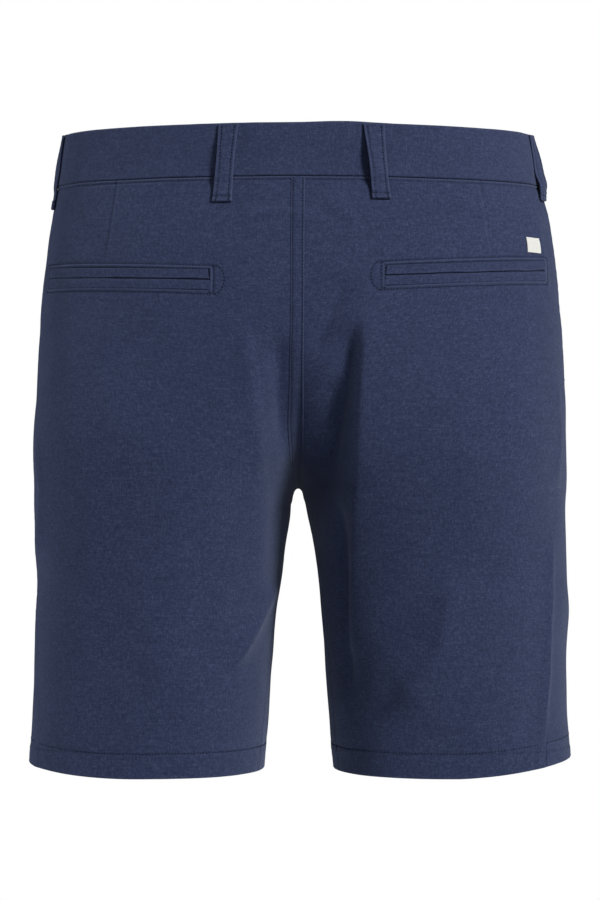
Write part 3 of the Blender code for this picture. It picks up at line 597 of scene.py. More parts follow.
def crease_height(way, point):
    """How far the creases lift the cloth off the plain surface."""
    way = wrapped(way)
    share = np.abs(way)
    in_leg = ease(CROTCH + INSEAM_FADE, CROTCH, point[..., 2])
    seams = ease(0.0, CREASE_EDGE, share) * (1.0 - in_leg * ease(1.0 - CREASE_EDGE, 1.0, share))
    height = np.zeros(np.shape(share))
    for crease in named(CREASE_COLUMNS, CREASES):
        away, hand, passed = path_distance(point[..., 0], point[..., 2], crease)
        width = crease["left"] + (crease["right"] - crease["left"]) * (0.5 + 0.5 * hand)
        blunt = crease["blunt"]
        crest = np.exp(-(np.hypot(away, blunt) - blunt) / width * CREST_FALL)
        taper = 1.0 - (2.0 * passed - 1.0) ** 4
        taper = taper * ease(*CREASE_RISE, passed) * ease(*CREASE_DIE, passed)
        on_face = way >= 0 if crease["face"] == "back" else way < 0
        height = height + np.where(on_face, crease["height"] * taper * crest, 0.0)
    return height * seams


def waviness(point):
    """The cloth's soft unevenness, from -1 to 1."""
    total = np.zeros(point.shape[:-1])
    for place, (direction, length, share) in enumerate(WAVES):
        direction = np.array(direction) / np.linalg.norm(direction)
        total = total + share * np.sin(2 * pi * (point @ direction) / length + WAVE_SHIFT * place)
    return total


def cloth(side, way, level):
    """Point and outward normal of the creased cloth. The creases lift it along the normal, but
    never across the centre seam."""
    way, level = np.broadcast_arrays(np.asarray(way, float), np.asarray(level, float))
    point = base_point(side, way, level)
    normal = surface_normal(side, way, level)
    sizes = bpy.context.scene.shorts_sizes
    lift = crease_height(way, point) * sizes.crease_strength
    lift = lift + waviness(point) * sizes.unevenness / MM
    kept = ease(0.0, CENTRE_KEPT, np.abs(point[..., 0]))
    lean = np.stack([normal[..., 0] * kept, normal[..., 1], normal[..., 2]], axis=-1)
    return point + lean * lift[..., None], normal


def ring(turn, level):
    """Point and normal on the torso's ring: turn 0 is the front, 1 the right, 2 the back."""
    turn, level = np.broadcast_arrays(np.asarray(turn, float), np.asarray(level, float))
    turn = np.mod(turn, FULL_TURN)
    right = cloth(1, np.clip(turn, 0.0, 2.0) - 1.0, level)
    left = cloth(-1, 3.0 - np.clip(turn, 2.0, FULL_TURN), level)
    on_right = (turn <= 2.0)[..., None]
    return np.where(on_right, right[0], left[0]), np.where(on_right, right[1], left[1])


def way_at(side, face, x, level):
    """How far round the surface is at distance x from the centre, on the back or front."""
    x, level = np.broadcast_arrays(np.asarray(x, float), np.asarray(level, float))
    sign = 1.0 if face == "back" else -1.0
    near = np.zeros(x.shape)
    far = np.ones(x.shape)
    for _ in range(HALVINGS):
        middle = (near + far) / 2
        outside = np.abs(base_point(side, sign * middle, level)[..., 0]) > x
        near = np.where(outside, middle, near)
        far = np.where(outside, far, middle)
    return sign * (near + far) / 2


def turn_at(face, x, level):
    """The ring's turn at a signed x on the back or the front."""
    side = 1 if np.all(np.asarray(x) >= 0) else -1
    way = way_at(side, face, np.abs(x), level)
    return 1.0 + way if side > 0 else 3.0 - way


def inseam_shift(level):
    """How far the inseam lies behind the leg's innermost point, as a share of the way round."""
    return np.where(level < CROTCH, along(SEAM, "inseam", level), 0.0)


def side_seam(side, level):
    """Where the side seam is, as a share of the way round towards the back."""
    return along(SEAM, "left" if side < 0 else "right", level)


def mouth_share(levels):
    """The pocket mouth's distance from the side seam, as a share of the front's width."""
    top = BAND_SEAM - SEAM_GAP
    return MOUTH_TOP * np.clip((levels - MOUTH_END) / (top - MOUTH_END), 0.0, 1.0)


def stretch(side, way, level, step):
    """Millimetres of cloth to one whole way round, from a step beside a place."""
    ahead = base_point(side, way + step, level)
    return np.linalg.norm(ahead - base_point(side, way, level), axis=-1) / np.abs(step)


def edge_shift(side, way, level):
    """Half the gap of a seam as a share of the way round. The step goes towards the widest
    point, so that it never leaves the leg."""
    return BUTT_GAP / 2 / stretch(side, way, level, -EDGE_STEP * np.sign(way - 0.1))


# ---------------------------------------------------------------- meshes

def wall_faces(rows, cols):
    """Quads of two grids of points and of the rim between them."""
    index = np.arange(rows * cols).reshape(rows, cols)
    a, b, c, d = index[:-1, :-1], index[:-1, 1:], index[1:, 1:], index[1:, :-1]
    outer = np.stack([a, b, c, d], axis=-1).reshape(-1, 4)
    layer = rows * cols
    inner = outer[:, ::-1] + layer
    border = np.concatenate([index[0, ::-1], index[1:, 0], index[-1, 1:], index[-2:0:-1, -1]])
    follow = np.roll(border, -1)
    edge = np.stack([border, follow, follow + layer, border + layer], axis=-1)
    return np.concatenate([outer, inner, edge])


def volume(points, quads):
    """Signed volume of a closed mesh of quads."""
    a, b, c, d = (points[quads[:, k]] for k in range(4))
    return (np.cross(a, b) * c).sum() + (np.cross(a, c) * d).sum()


def put_in_scene(name, data):
    """An object of a mesh, lamp or camera, linked to the scene."""
    piece = bpy.data.objects.new(name, data)
    bpy.context.scene.collection.objects.link(piece)
    return piece


def mesh_from(editor, name):
    """A mesh from an editor, which is then freed."""
    mesh = bpy.data.meshes.new(name)
    editor.to_mesh(mesh)
    editor.free()
    return mesh


def evaluated_mesh(item):
    """A new mesh from an object with its modifiers."""
    graph = bpy.context.evaluated_depsgraph_get()
    return bpy.data.meshes.new_from_object(item.evaluated_get(graph))


def make_piece(name, points, faces, material, uv=None, wear_and_shade=None):
    """One named piece from points in millimetres and quads."""
    points = np.asarray(points, float)
    faces = np.asarray(faces)
    if volume(points, faces) < 0:
        faces = faces[:, ::-1]
    mesh = bpy.data.meshes.new(name)
    mesh.from_pydata((points * MM).tolist(), [], faces.tolist())
    mesh.materials.append(material)
    if uv is not None:
        layer = mesh.uv_layers.new(name="cloth")
        layer.data.foreach_set("uv", (np.asarray(uv)[faces.ravel()] * MM).ravel())
    # The attribute carries the rubbing, which lightens, and the painted shade, which darkens.
    worn_and_shaded = mesh.attributes.new("wear_and_shade", "FLOAT", "POINT")
    worn_and_shaded.data.foreach_set("value", np.zeros(len(points)) if wear_and_shade is None else wear_and_shade)
    mesh.shade_smooth()
    mesh.set_sharp_from_angle(angle=radians(SHARP_EDGE))
    return put_in_scene(name, mesh)


def rim(distance, thickness):
    """Share of the half thickness left at a distance from a rounded edge."""
    t = np.clip(distance / (thickness / 2), 0.0, 1.0)
    return RIM_SHARE + (1 - RIM_SHARE) * np.sqrt(1 - (1 - t) ** 2)


def rims(run, thickness, axis=1):
    """Share of the half thickness left beside both ends of a run, which goes along the grid's
    rows (1) or columns (0)."""
    end = run[:, -1:] if axis else run[-1:]
    return rim(run, thickness) * rim(end - run, thickness)


def flat_place(points, grain=0.0):
    """Each point's place on the flat cloth, from its middle column."""
    across = lengths(points, 1)
    middle = points.shape[1] // 2
    down = lengths(points[:, middle:middle + 1], 0)
    across = across - across[:, middle:middle + 1]
    return np.stack([across + grain, np.broadcast_to(-down, across.shape)], axis=-1)


def make_cloth(name, surface, lift, thickness, edge, grain=0.0, wear_and_shade=0.0, material=None):
    """A closed piece of cloth over a surface of (points, normals). Its outer face lies lift off
    the surface, edge is the share of the thickness left beside its rounded edges, and grain
    shifts its weave."""
    point, normal = surface
    half = thickness / 2
    middle = lift - half
    outer = point + normal * (middle + half * edge)[..., None]
    inner = point + normal * (middle - half * edge)[..., None]
    material = navy_cloth() if material is None else material
    points = np.concatenate([outer.reshape(-1, 3), inner.reshape(-1, 3)])
    place = np.tile(flat_place(point, grain).reshape(-1, 2), (2, 1))
    worn_and_shaded = np.concatenate([np.broadcast_to(wear_and_shade, edge.shape).ravel(), np.zeros(edge.size)])
    return make_piece(name, points, wall_faces(*edge.shape), material, place, worn_and_shaded)


def finish(piece, nodes=()):
    """Hand a piece to the frame's body, and hide the parts of the model that it stands for."""
    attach(piece, BODY)
    if nodes:
        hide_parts(*nodes)
    return piece


# ---------------------------------------------------------------- materials

def group_socket(tree, name, kind, way="INPUT", value=None):
    """A named socket on a node group."""
    socket = tree.interface.new_socket(name=name, in_out=way, socket_type=kind)
    if value is not None:
        socket.default_value = value
    return socket


class NodeDesk:
    """Short hand for adding and linking nodes in one tree."""

    def __init__(self, tree):
        self.tree = tree

    def add(self, kind, **settings):
        """A node with its settings."""
        node = self.tree.nodes.new(kind)
        for key, value in settings.items():
            setattr(node, key, value)
        return node

    def set(self, socket, value):
        """A socket's value, or a link into it."""
        if isinstance(value, bpy.types.NodeSocket):
            self.tree.links.new(value, socket)
        else:
            socket.default_value = value

    def feed(self, kind, inputs, **settings):
        """A node with values or links on its inputs, by name or place; gives its outputs."""
        node = self.add(kind, **settings)
        for key, value in inputs.items():
            self.set(node.inputs[key], value)
        return node.outputs

    def maths(self, operation, first, second=0.0, *third):
        """One sum."""
        values = dict(enumerate((first, second, *third)))
        return self.feed("ShaderNodeMath", values, operation=operation)[0]

    def vector(self, x, y, z=0.0):
        """Three numbers as one vector."""
        return self.feed("ShaderNodeCombineXYZ", {0: x, 1: y, 2: z})[0]

    def noise(self, vector, scale=1.0, detail=2.0, roughness=0.5):
        """Smooth noise from about 0 to 1."""
        return self.feed("ShaderNodeTexNoise", {
            "Vector": vector, "Scale": scale, "Detail": detail, "Roughness": roughness})["Fac"]

    def mix(self, share, first, second):
        """Two colours mixed."""
        return self.feed("ShaderNodeMix", {"Factor": share, 6: first, 7: second},
                         data_type="RGBA")[2]


def new_group(name, inputs):
    """A shader node group that gives a colour, a roughness and a height, from (name, type,
    default) rows for its inputs. Returns its tree, its desk and its inputs' sockets."""
    tree = bpy.data.node_groups.new(name, "ShaderNodeTree")
    for label, kind, value in inputs:
        group_socket(tree, label, "NodeSocket" + kind, value=value)
    for label, kind in (("Colour", "Color"), ("Roughness", "Float"), ("Height", "Float")):
        group_socket(tree, label, "NodeSocket" + kind, "OUTPUT")
    desk = NodeDesk(tree)
    return tree, desk, desk.add("NodeGroupInput").outputs


def give(desk, **values):
    """Link a group's results to its outputs."""
    out = desk.add("NodeGroupOutput").inputs
    for label, value in values.items():
        desk.set(out[label], value)


def woven_group():
    """Heathered plain weave: colour, roughness and height from the place on the flat cloth."""
    name = "Woven cloth"
    if name in bpy.data.node_groups:
        return bpy.data.node_groups[name]
    tree, desk, given = new_group(name, (
        ("Place", "Vector", None),
        ("Cloth", "Color", (0.04, 0.05, 0.11, 1)),
        ("Light yarn", "Color", (0.08, 0.1, 0.18, 1)),
        ("Dark yarn and painted shade", "Color", (0.02, 0.025, 0.06, 1)),
        ("Yarn pitch", "Float", 0.0005),
        ("Heather", "Float", 1.0),
        ("Wear and shade", "Float", 0.0)))
    u, v = desk.feed("ShaderNodeSeparateXYZ", {0: given["Place"]})[:2]

    def streaks(across, along_it, shift):
        """Noise drawn out along one yarn direction."""
        place = desk.vector(
            desk.maths("MULTIPLY", u, across), desk.maths("MULTIPLY", v, along_it), shift)
        return desk.maths("SUBTRACT", desk.noise(place, 1.0, 2.5, 0.6), 0.5)

    heather = None
    for across_scale, along_scale, shift, amount in HEATHER:
        layer = desk.maths("MULTIPLY", streaks(across_scale, along_scale, shift), amount)
        heather = layer if heather is None else desk.maths("ADD", heather, layer)
    heather = desk.maths("MULTIPLY", heather, given["Heather"])
    colour = given["Cloth"]
    # The heather and the rubbing mix towards the light yarn; the heather and the painted shade mix
    # towards the dark yarn.
    for amount in (heather, given["Wear and shade"]):
        light = desk.maths("MAXIMUM", amount, 0.0)
        dark = desk.maths("MAXIMUM", desk.maths("MULTIPLY", amount, -1.0), 0.0)
        colour = desk.mix(light, colour, given["Light yarn"])
        colour = desk.mix(dark, colour, given["Dark yarn and painted shade"])

    across = desk.maths("DIVIDE", u, given["Yarn pitch"])
    down = desk.maths("DIVIDE", v, given["Yarn pitch"])
    checks = desk.maths("ADD", desk.maths("FLOOR", across), desk.maths("FLOOR", down))
    over = desk.maths("MODULO", desk.maths("ABSOLUTE", checks), 2.0)
    warp_yarn = desk.maths("ABSOLUTE", desk.maths("SINE", desk.maths("MULTIPLY", across, pi)))
    weft_yarn = desk.maths("ABSOLUTE", desk.maths("SINE", desk.maths("MULTIPLY", down, pi)))
    gap = desk.maths("SUBTRACT", warp_yarn, weft_yarn)
    yarn = desk.maths("MULTIPLY_ADD", gap, over, weft_yarn)
    height = desk.maths("ADD", yarn, desk.maths("MULTIPLY", heather, 0.9))
    give(desk, Colour=colour, Roughness=desk.maths("MULTIPLY_ADD", heather, 0.1, 0.9),
         Height=height)
    return tree


def blank_material(name):
    """A new material's desk and shader."""
    material = bpy.data.materials.new(name)
    material.use_nodes = True
    return material, NodeDesk(material.node_tree), material.node_tree.nodes["Principled BSDF"]


def shade(colour, factor, grey=0.0):
    """A colour made lighter or darker, and greyer."""
    colour = np.array(colour[:3]) * factor
    colour = colour + (colour.mean() - colour) * grey
    return (*colour.tolist(), 1.0)


def lay_pattern(desk, shader, group, values, strength, distance):
    """Feed a shader's colour, roughness and bump from a node group with its own values."""
    pattern = desk.feed("ShaderNodeGroup", values, node_tree=group)
    raised = desk.feed("ShaderNodeBump", {
        "Strength": strength, "Distance": distance, "Height": pattern["Height"]})
    desk.set(shader.inputs["Base Color"], pattern["Colour"])
    desk.set(shader.inputs["Roughness"], pattern["Roughness"])
    desk.set(shader.inputs["Normal"], raised[0])


def cloth_material(name, colour, pitch=0.0005, heather=1.0, light=1.9, dark=0.45, bump=0.00016):
    """Woven cloth in one colour."""
    if name in bpy.data.materials:
        return bpy.data.materials[name]
    material, desk, shader = blank_material(name)
    lay_pattern(desk, shader, woven_group(), {
        "Place": desk.add("ShaderNodeUVMap", uv_map="cloth").outputs[0],
        # The mesh attribute brings the rubbing and the painted shade into the colour.
        "Wear and shade": desk.add("ShaderNodeAttribute", attribute_name="wear_and_shade").outputs["Fac"],
        "Cloth": shade(colour, 1.0),
        "Light yarn": shade(colour, light, 0.25),
        "Dark yarn and painted shade": shade(colour, dark),
        "Yarn pitch": pitch,
        "Heather": heather}, 0.6, bump)
    for label, value in (("Sheen Weight", 0.22), ("Sheen Roughness", 0.45),
                         ("Sheen Tint", (0.62, 0.72, 1.0, 1.0)), ("Specular IOR Level", 0.2)):
        desk.set(shader.inputs[label], value)
    material.diffuse_color = shade(colour, 1.0)
    return material


def grain_group():
    """Fine grain: colour, roughness and height from a place."""
    name = "Fine grain"
    if name in bpy.data.node_groups:
        return bpy.data.node_groups[name]
    tree, desk, given = new_group(name, (
        ("Place", "Vector", None),
        ("Dark", "Color", (0.1, 0.1, 0.1, 1)),
        ("Light", "Color", (0.2, 0.2, 0.2, 1)),
        ("Scale", "Float", 900.0),
        ("Mean roughness", "Float", 0.7)))
    noise = desk.noise(given["Place"], given["Scale"], 3.0, 0.6)
    away = desk.maths("MULTIPLY", desk.maths("SUBTRACT", noise, 0.5), 0.15)
    give(desk, Colour=desk.mix(noise, given["Dark"], given["Light"]),
         Roughness=desk.maths("ADD", away, given["Mean roughness"]), Height=noise)
    return tree


def plain_material(name, colour, roughness, grain=0.15, scale=900.0, height=0.00005, specular=0.3):
    """A colour with fine grain on Object coordinates, for thread, holes, resin and the floor."""
    if name in bpy.data.materials:
        return bpy.data.materials[name]
    material, desk, shader = blank_material(name)
    lay_pattern(desk, shader, grain_group(), {
        "Place": desk.add("ShaderNodeTexCoord").outputs["Object"],
        "Dark": shade(colour, 1 - grain),
        "Light": shade(colour, 1 + grain),
        "Scale": scale,
        "Mean roughness": roughness}, 0.5, height)
    desk.set(shader.inputs["Specular IOR Level"], specular)
    material.diffuse_color = shade(colour, 1.0)
    return material


def navy_cloth():
    """The shorts' cloth."""
    return cloth_material("navy_heather_cloth", bpy.context.scene.shorts_finish.cloth)


def thread_material():
    """The sewing thread."""
    return plain_material("navy_thread", bpy.context.scene.shorts_finish.thread, 0.75, 0.3, 2500.0)


def needle_shade_material():
    """Painted shade: the dark colour of the marks standing for the shade in needle holes."""
    colour = bpy.context.scene.shorts_finish.hole
    return plain_material("needle_hole", colour, 0.95, 0.2, 2500.0, specular=0.05)


# ---------------------------------------------------------------- relief on the panels

def pucker(run, length, shift=0.0):
    """Uneven little waves along a sewn line, from -1 to 1."""
    turn = 2 * pi * run / length
    return 0.6 * np.sin(turn + shift) + 0.4 * np.sin(turn / 0.618 + 2.1 * shift)


def gathered(run, away, row):
    """Puckers along a line, fading with the distance from it."""
    height, length, shift, centre, width = row
    return height * pucker(run, length, shift) * bell(away, centre, width)


def box_distance(x, z, ends, half):
    """Distance outside a slanted pocket box; negative inside."""
    (x0, z0), (x1, z1) = ends
    line = z0 + (z1 - z0) * np.clip((x - x0) / (x1 - x0), -0.1, 1.1)
    past_end = np.maximum(x0 - x, x - x1)
    past_side = np.abs(z - line) - half
    outside = np.hypot(np.maximum(past_end, 0.0), np.maximum(past_side, 0.0))
    return outside + np.minimum(np.maximum(past_end, past_side), 0.0)


def end_distance(x, z, ends):
    """Distance from the half round row at a pocket's inner end, and whether it is on that side."""
    (x0, z0), _ = ends
    reach = np.hypot((x0 - POCKET_ROW - x) / POCKET_END, (z - z0) / (POCKET_HALF + POCKET_ROW))
    return np.abs(reach - 1.0) * POCKET_END, x < x0 - POCKET_ROW + 0.4


def pocket_relief(side, point):
    """The pressed and sewn edge round a back pocket; the welts lie sunk in it."""
    x = np.abs(point[..., 0])
    z = point[..., 2]
    ends = WELT_ENDS[side]
    away = box_distance(x, z, ends, POCKET_HALF)
    round_it, inner_side = end_distance(x, z, ends)
    height = bells(away, POCKET_RELIEF) - WELT_SUNK * ease(0.05, -0.5, away)
    height = height + gathered(x, away, POCKET_PUCKER)
    height = height + inner_side * bells(round_it, POCKET_END_RELIEF)
    # Painted shade darkens the pocket's edge by the welts and its rows; its ridge is lighter where
    # rubbed.
    return height, bells(away, POCKET_WEAR_AND_SHADE) + inner_side * bells(round_it, POCKET_END_SHADE)


def dart_relief(side, point):
    """A back dart: a fine sunk line with a soft pressed edge beside it."""
    (x0, z0), (x1, z1), depth = DARTS[side]
    share = np.clip((point[..., 2] - z0) / (z1 - z0), 0.0, 1.0)
    away = np.abs(point[..., 0]) - (x0 + (x1 - x0) * share)
    fade = depth * ease(1.0, 0.75, share) * (point[..., 2] < z0 + 10)
    # Painted shade darkens the sunk line; the pressed edge is lighter where rubbed.
    return bells(away, DART_RELIEF) * fade, bells(away, DART_WEAR_AND_SHADE) * fade


def crotch_shade(point):
    """How much painted shade darkens the cloth where it is folded deep beside the crotch."""
    x = point[..., 0]
    left, right, along_it = SHADE_FALL
    centre_x, centre_z = SHADE_CENTRE
    away = np.hypot(np.where(x < 0, -left * x, right * (x - centre_x)),
                    along_it * (point[..., 2] - centre_z))
    return CROTCH_SHADE * ease(*SHADE_REACH, away)


def seam_relief(face, point, drop, from_side, from_inner):
    """Ridges and puckers along a panel's seams and hem, their rubbing and their painted shade."""
    z = point[..., 2]
    hem = z - HEM_ROW
    height = bells(drop, WAIST_RELIEF) + bells(hem, HEM_RELIEF)
    height = height + HEM_RISE * ease(0.6, -0.6, hem)
    if face == "back":
        edge = SIDE_ALLOWANCE + 1.5, SIDE_ALLOWANCE - 1.0
        height = height + SIDE_RISE * ease(*edge, from_side)
    for run, away, row in (
            (from_side, drop, WAIST_PUCKER), (z, from_side, SIDE_PUCKER),
            (z, from_inner, INNER_PUCKER), (from_side + 0.7 * hem, hem, HEM_PUCKER)):
        height = height + gathered(run, away, row)
    # Painted shade darkens the waist seam, the ditch under the band and the hem's row; the ridge
    # under the seam and the hem's fold are lighter where rubbed.
    wear_and_shade = bells(drop, WAIST_WEAR_AND_SHADE) + bells(hem, HEM_ROW_SHADE) + bells(z - HEM, HEM_FOLD_WEAR)
    wear_and_shade = wear_and_shade + bells(drop, (DITCH_SHADE,)) * (0.7 + 0.3 * pucker(from_side, 5.3))
    # Painted shade darkens the cloth beside the crotch.
    return height, wear_and_shade - crotch_shade(point)


# ---------------------------------------------------------------- panels

def panel_levels(face):
    """Heights of a panel's rows, closer where something is sewn."""
    top = BAND_SEAM - BUTT_GAP
    reach = top - CROTCH
    fine = [*WAIST_ROWS, (reach - 24, reach, 1.2)] + [POCKET_ROWS] * (face == "back")
    coarse = COARSE if face == "back" else FRONT_COARSE
    upper = top - spread(reach, fine, coarse)
    root = CROTCH + np.array(CROTCH_ROWS)
    upper = np.concatenate([upper[upper > CROTCH + 5.2], root, [CROTCH]])
    row, end = CROTCH - HEM_ROW, CROTCH - HEM
    lower = CROTCH - spread(end, (
        (0.0, 3.0, 0.5), (3.0, 20.0, 1.2), (row - 3, row + 3, 0.6), (row, end, 1.3),
        (end - 1.2, end, 0.25)), coarse)
    return np.concatenate([upper, lower[1:]])


def fill_columns(start, end, share):
    """Ways from each row's start to its end."""
    return start[:, None] + (end - start)[:, None] * share


def back_ways(side, levels):
    """Columns of a back panel, from the side seam to the centre seam and inseam."""
    start = side_seam(side, levels)
    start = start + edge_shift(side, start, levels)
    end = 1.0 - inseam_shift(levels)
    legs = levels < CROTCH + 0.1
    end = end - np.where(legs, edge_shift(side, end, levels), 0.0)
    pocket_level = WELT_ENDS[side][0][1]
    seam = float(side_seam(side, pocket_level))

    def run_to(x, level):
        """Distance from the side seam to a place on the back."""
        return (float(way_at(side, "back", x, level)) - seam) / (1.0 - seam) * BACK_WIDTH

    bar = run_to(WELT_ENDS[side][0][0], pocket_level)
    far = run_to(*WELT_ENDS[side][1])
    dart = run_to(*DART_MIDDLE)
    share = spread(BACK_WIDTH, (
        (0.0, 0.9, 0.25), (far - 2.0, far + 1.5, 0.6), (bar - 3.0, bar + 11.0, 0.7),
        (dart - 2.0, dart + 3.0, 0.7), (BACK_WIDTH - 0.9, BACK_WIDTH, 0.3)), 2.0) / BACK_WIDTH
    return fill_columns(start, end, share)


def front_ways(side, levels):
    """Columns of a front panel, from the side seam or pocket mouth to the inner edge."""
    seam = side_seam(side, levels)
    start = seam - edge_shift(side, seam - 0.01, levels)
    end = -1.0 - inseam_shift(levels)
    legs = levels < CROTCH + 0.1
    end = end + np.where(legs, edge_shift(side, np.maximum(end, -0.999), levels), 0.0)
    start = start + (end - start) * mouth_share(levels)
    fine = ((0.0, 0.9, 0.25), (0.9, 9.0, 1.2), (FRONT_WIDTH - 0.9, FRONT_WIDTH, 0.3))
    return fill_columns(start, end, spread(FRONT_WIDTH, fine, 2.8) / FRONT_WIDTH)


def fly_lap(levels):
    """How far the left front's edge passes the centre, and how far it lies out."""
    reach = FLY_OVERLAP * ease(FLY_END, FLY_END + FLY_FADE, levels)
    out = (CLOTH + LAYER_GAP) * ease(FLY_END - FLY_FADE, FLY_END, levels)
    return reach, out


def lap_over(levels, ways):
    """Place the left front's last columns so that its edge laps over the right front.
    Returns which points lie past the centre, and how far each point is lifted."""
    reach, rise = fly_lap(levels)
    lift = np.zeros(ways.shape)
    crossed = np.zeros(ways.shape, bool)
    count = ways.shape[1] - LAP_COLUMNS
    for row in np.flatnonzero(levels > FLY_END - FLY_FADE):
        places = FLY_RISE - (FLY_RISE + reach[row]) * np.linspace(0.0, 1.0, LAP_COLUMNS)
        if reach[row] > 1.2:
            places[-3:] = np.array(LAP_EDGE) - reach[row]
        places = np.where(np.abs(places) < 0.02, 0.02, places)
        foot = float(way_at(-1, "front", FLY_RISE, levels[row]))
        old_foot = ways[row, count]
        ways[row, :count + 1] = ways[row, 0] + (ways[row, :count + 1] - ways[row, 0]) * (
            (foot - ways[row, 0]) / (old_foot - ways[row, 0]))
        ways[row, count:] = way_at(-1, "front", np.abs(places), np.full(LAP_COLUMNS, levels[row]))
        crossed[row, count:] = places < 0
        lift[row, count:] = rise[row] * ease(FLY_RISE, FLY_FLAT, places)
    return crossed, lift


def make_panel(side, face, hand):
    """One panel of the shorts, with its seams, pocket edges and turned-up hem."""
    levels = panel_levels(face)
    ways = back_ways(side, levels) if face == "back" else front_ways(side, levels)
    crossed = np.zeros(ways.shape, bool)
    lap = np.zeros(ways.shape)
    if face == "front" and side < 0:
        crossed, lap = lap_over(levels, ways)
    point, normal = cloth(side, ways, levels[:, None])
    point[..., 0] = np.where(crossed, -point[..., 0], point[..., 0])
    normal[..., 0] = np.where(crossed, -normal[..., 0], normal[..., 0])
    across = lengths(point, 1)
    drop = lengths(point, 0)
    height, wear_and_shade = seam_relief(face, point, drop, across, across[:, -1:] - across)
    if face == "back":
        for more, tint in (pocket_relief(side, point), dart_relief(side, point)):
            height = height + more
            wear_and_shade = wear_and_shade + tint
    edge = rims(across, CLOTH) * rims(drop, CLOTH, 0)
    thick = np.where(levels < HEM + HEM_DEPTH - 1.0, 2 * CLOTH, CLOTH)[:, None]
    grain = 400.0 * side + (0.0 if face == "back" else 150.0)
    return make_cloth(
        f"{face}_panel_{hand}", (point, normal), height + lap, thick, edge, grain, wear_and_shade)


class ShortsPanels(bpy.types.Operator):
    """Make the two back and the two front panels"""

    bl_idname = "shorts.make_panels"
    bl_label = "Make Panels"

    def execute(self, context):
        for face, side, hand, wide, long, area in PANEL_CUTS:
            panel = make_panel(side, face, hand)
            finish(panel, (f"{face}_{hand}",))
        return {"FINISHED"}


class ShortsFacings(bpy.types.Operator):
    """Make the cloth that shows in the front pockets' mouths"""

    bl_idname = "shorts.make_facings"
    bl_label = "Make Pocket Facings"

    def execute(self, context):
        for side, hand in HANDS:
            levels = BAND_SEAM - BUTT_GAP - spread(
                BAND_SEAM - MOUTH_END + 4.0, ((0.0, 0.8, 0.3),), 2.4)
            seam = side_seam(side, levels)
            start = seam - edge_shift(side, seam - 0.01, levels)
            end = start + (-1.0 - start) * (mouth_share(levels) + FACING_OVERLAP)
            ways = fill_columns(start, end, np.linspace(0.0, 1.0, 44))
            surface = cloth(side, ways, levels[:, None])
            edge = rims(lengths(surface[0], 1), CLOTH)
            # The facing carries painted shade, as it lies deep in the mouth.
            facing = make_cloth(f"pocket_lining_{hand}", surface, -CLOTH - FACING_DEPTH, CLOTH,
                                edge, 700.0, FACING_SHADE)
            finish(facing, (f"pocket_facing_{hand}",))
        return {"FINISHED"}


class ShortsFlyShield(bpy.types.Operator):
    """Make the strip behind the fly opening"""

    bl_idname = "shorts.make_fly_shield"
    bl_label = "Make Fly Shield"

    def execute(self, context):
        top = BAND_SEAM - BAND_SEAM_DIP - SHIELD_DROP
        rows = (top - spread(top - FLY_END, (), 2.4))[:, None]
        places = np.linspace(*SHIELD_REACH, 26)
        turns = np.where(places < 0, turn_at("front", -np.abs(places), rows),
                         turn_at("front", np.abs(places), rows))
        surface = ring(turns, rows)
        edge = rims(lengths(surface[0], 1), SHIELD_CLOTH)
        shield = make_cloth("fly_shield_strip", surface, -CLOTH - SHIELD_DEPTH, SHIELD_CLOTH, edge,
                            800.0)
        finish(shield, ("fly_shield",))
        return {"FINISHED"}


# ---------------------------------------------------------------- waistband and loops

def even_turns(start, end, pitch, level=0.0):
    """Turns from start to end, evenly spaced along the waistband."""
    dense = np.linspace(start, end, 3000)
    run = lengths(ring(dense, level)[0][None], 1)[0]
    count = int(round(run[-1] / pitch))
    return np.interp(np.linspace(0.0, run[-1], count + 1), run, dense)


class ShortsWaistband(bpy.types.Operator):
    """Make the waistband, whose right end lies under its left end"""

    bl_idname = "shorts.make_waistband"
    bl_label = "Make Waistband"

    def execute(self, context):
        outer_end = float(turn_at("front", FLY_OVERLAP, 0.0))
        under_end = float(turn_at("front", -UNDERLAP, 0.0)) - 2 * FULL_TURN
        turns = even_turns(outer_end, under_end, 2.2)
        bends = [float(turn_at("front", place, 0.0)) - FULL_TURN for place in UNDERLAP_BEND]
        ends = [turns[0] - 0.0006, turns[0] - 0.0018, turns[0] - 0.0042, under_end + 0.001,
                under_end + 0.004]
        turns = np.sort(np.concatenate([turns, ends]))[::-1]
        sunk = -(BAND_CLOTH + LAYER_GAP) * ease(*bends, turns)
        deep = BAND_TOP - BAND_SEAM
        heights = BAND_TOP - spread(deep, ((0.0, 1.2, 0.25), (deep - 1.3, deep, 0.25)), 1.8)
        point, normal = ring(turns, heights[:, None])
        share = ((heights - BAND_SEAM) / deep)[:, None]
        point[..., 2] += share * bells(point[..., 0], (BAND_RISE,)) * (point[..., 1] < 0)
        across = lengths(point, 1)
        drop = lengths(point, 0)
        foot = drop[-1:] - drop
        lift = BAND_PROUD + sunk + gathered(across, foot, BAND_PUCKER)
        lift = lift + 0.16 * pucker(across, 23.0, 0.7)
        # The band is a little lighter all over and along its rubbed top; painted shade darkens its
        # foot above the ditch.
        wear_and_shade = 0.08 + bells(drop, BAND_TOP_WEAR) + bells(foot, BAND_FOOT_SHADE)
        edge = rims(across, BAND_CLOTH) * rims(drop, BAND_CLOTH, 0)
        band = make_cloth("waistband_strip", (point, normal), lift, BAND_CLOTH, edge, wear_and_shade=wear_and_shade)
        finish(band, ("waistband",))
        return {"FINISHED"}


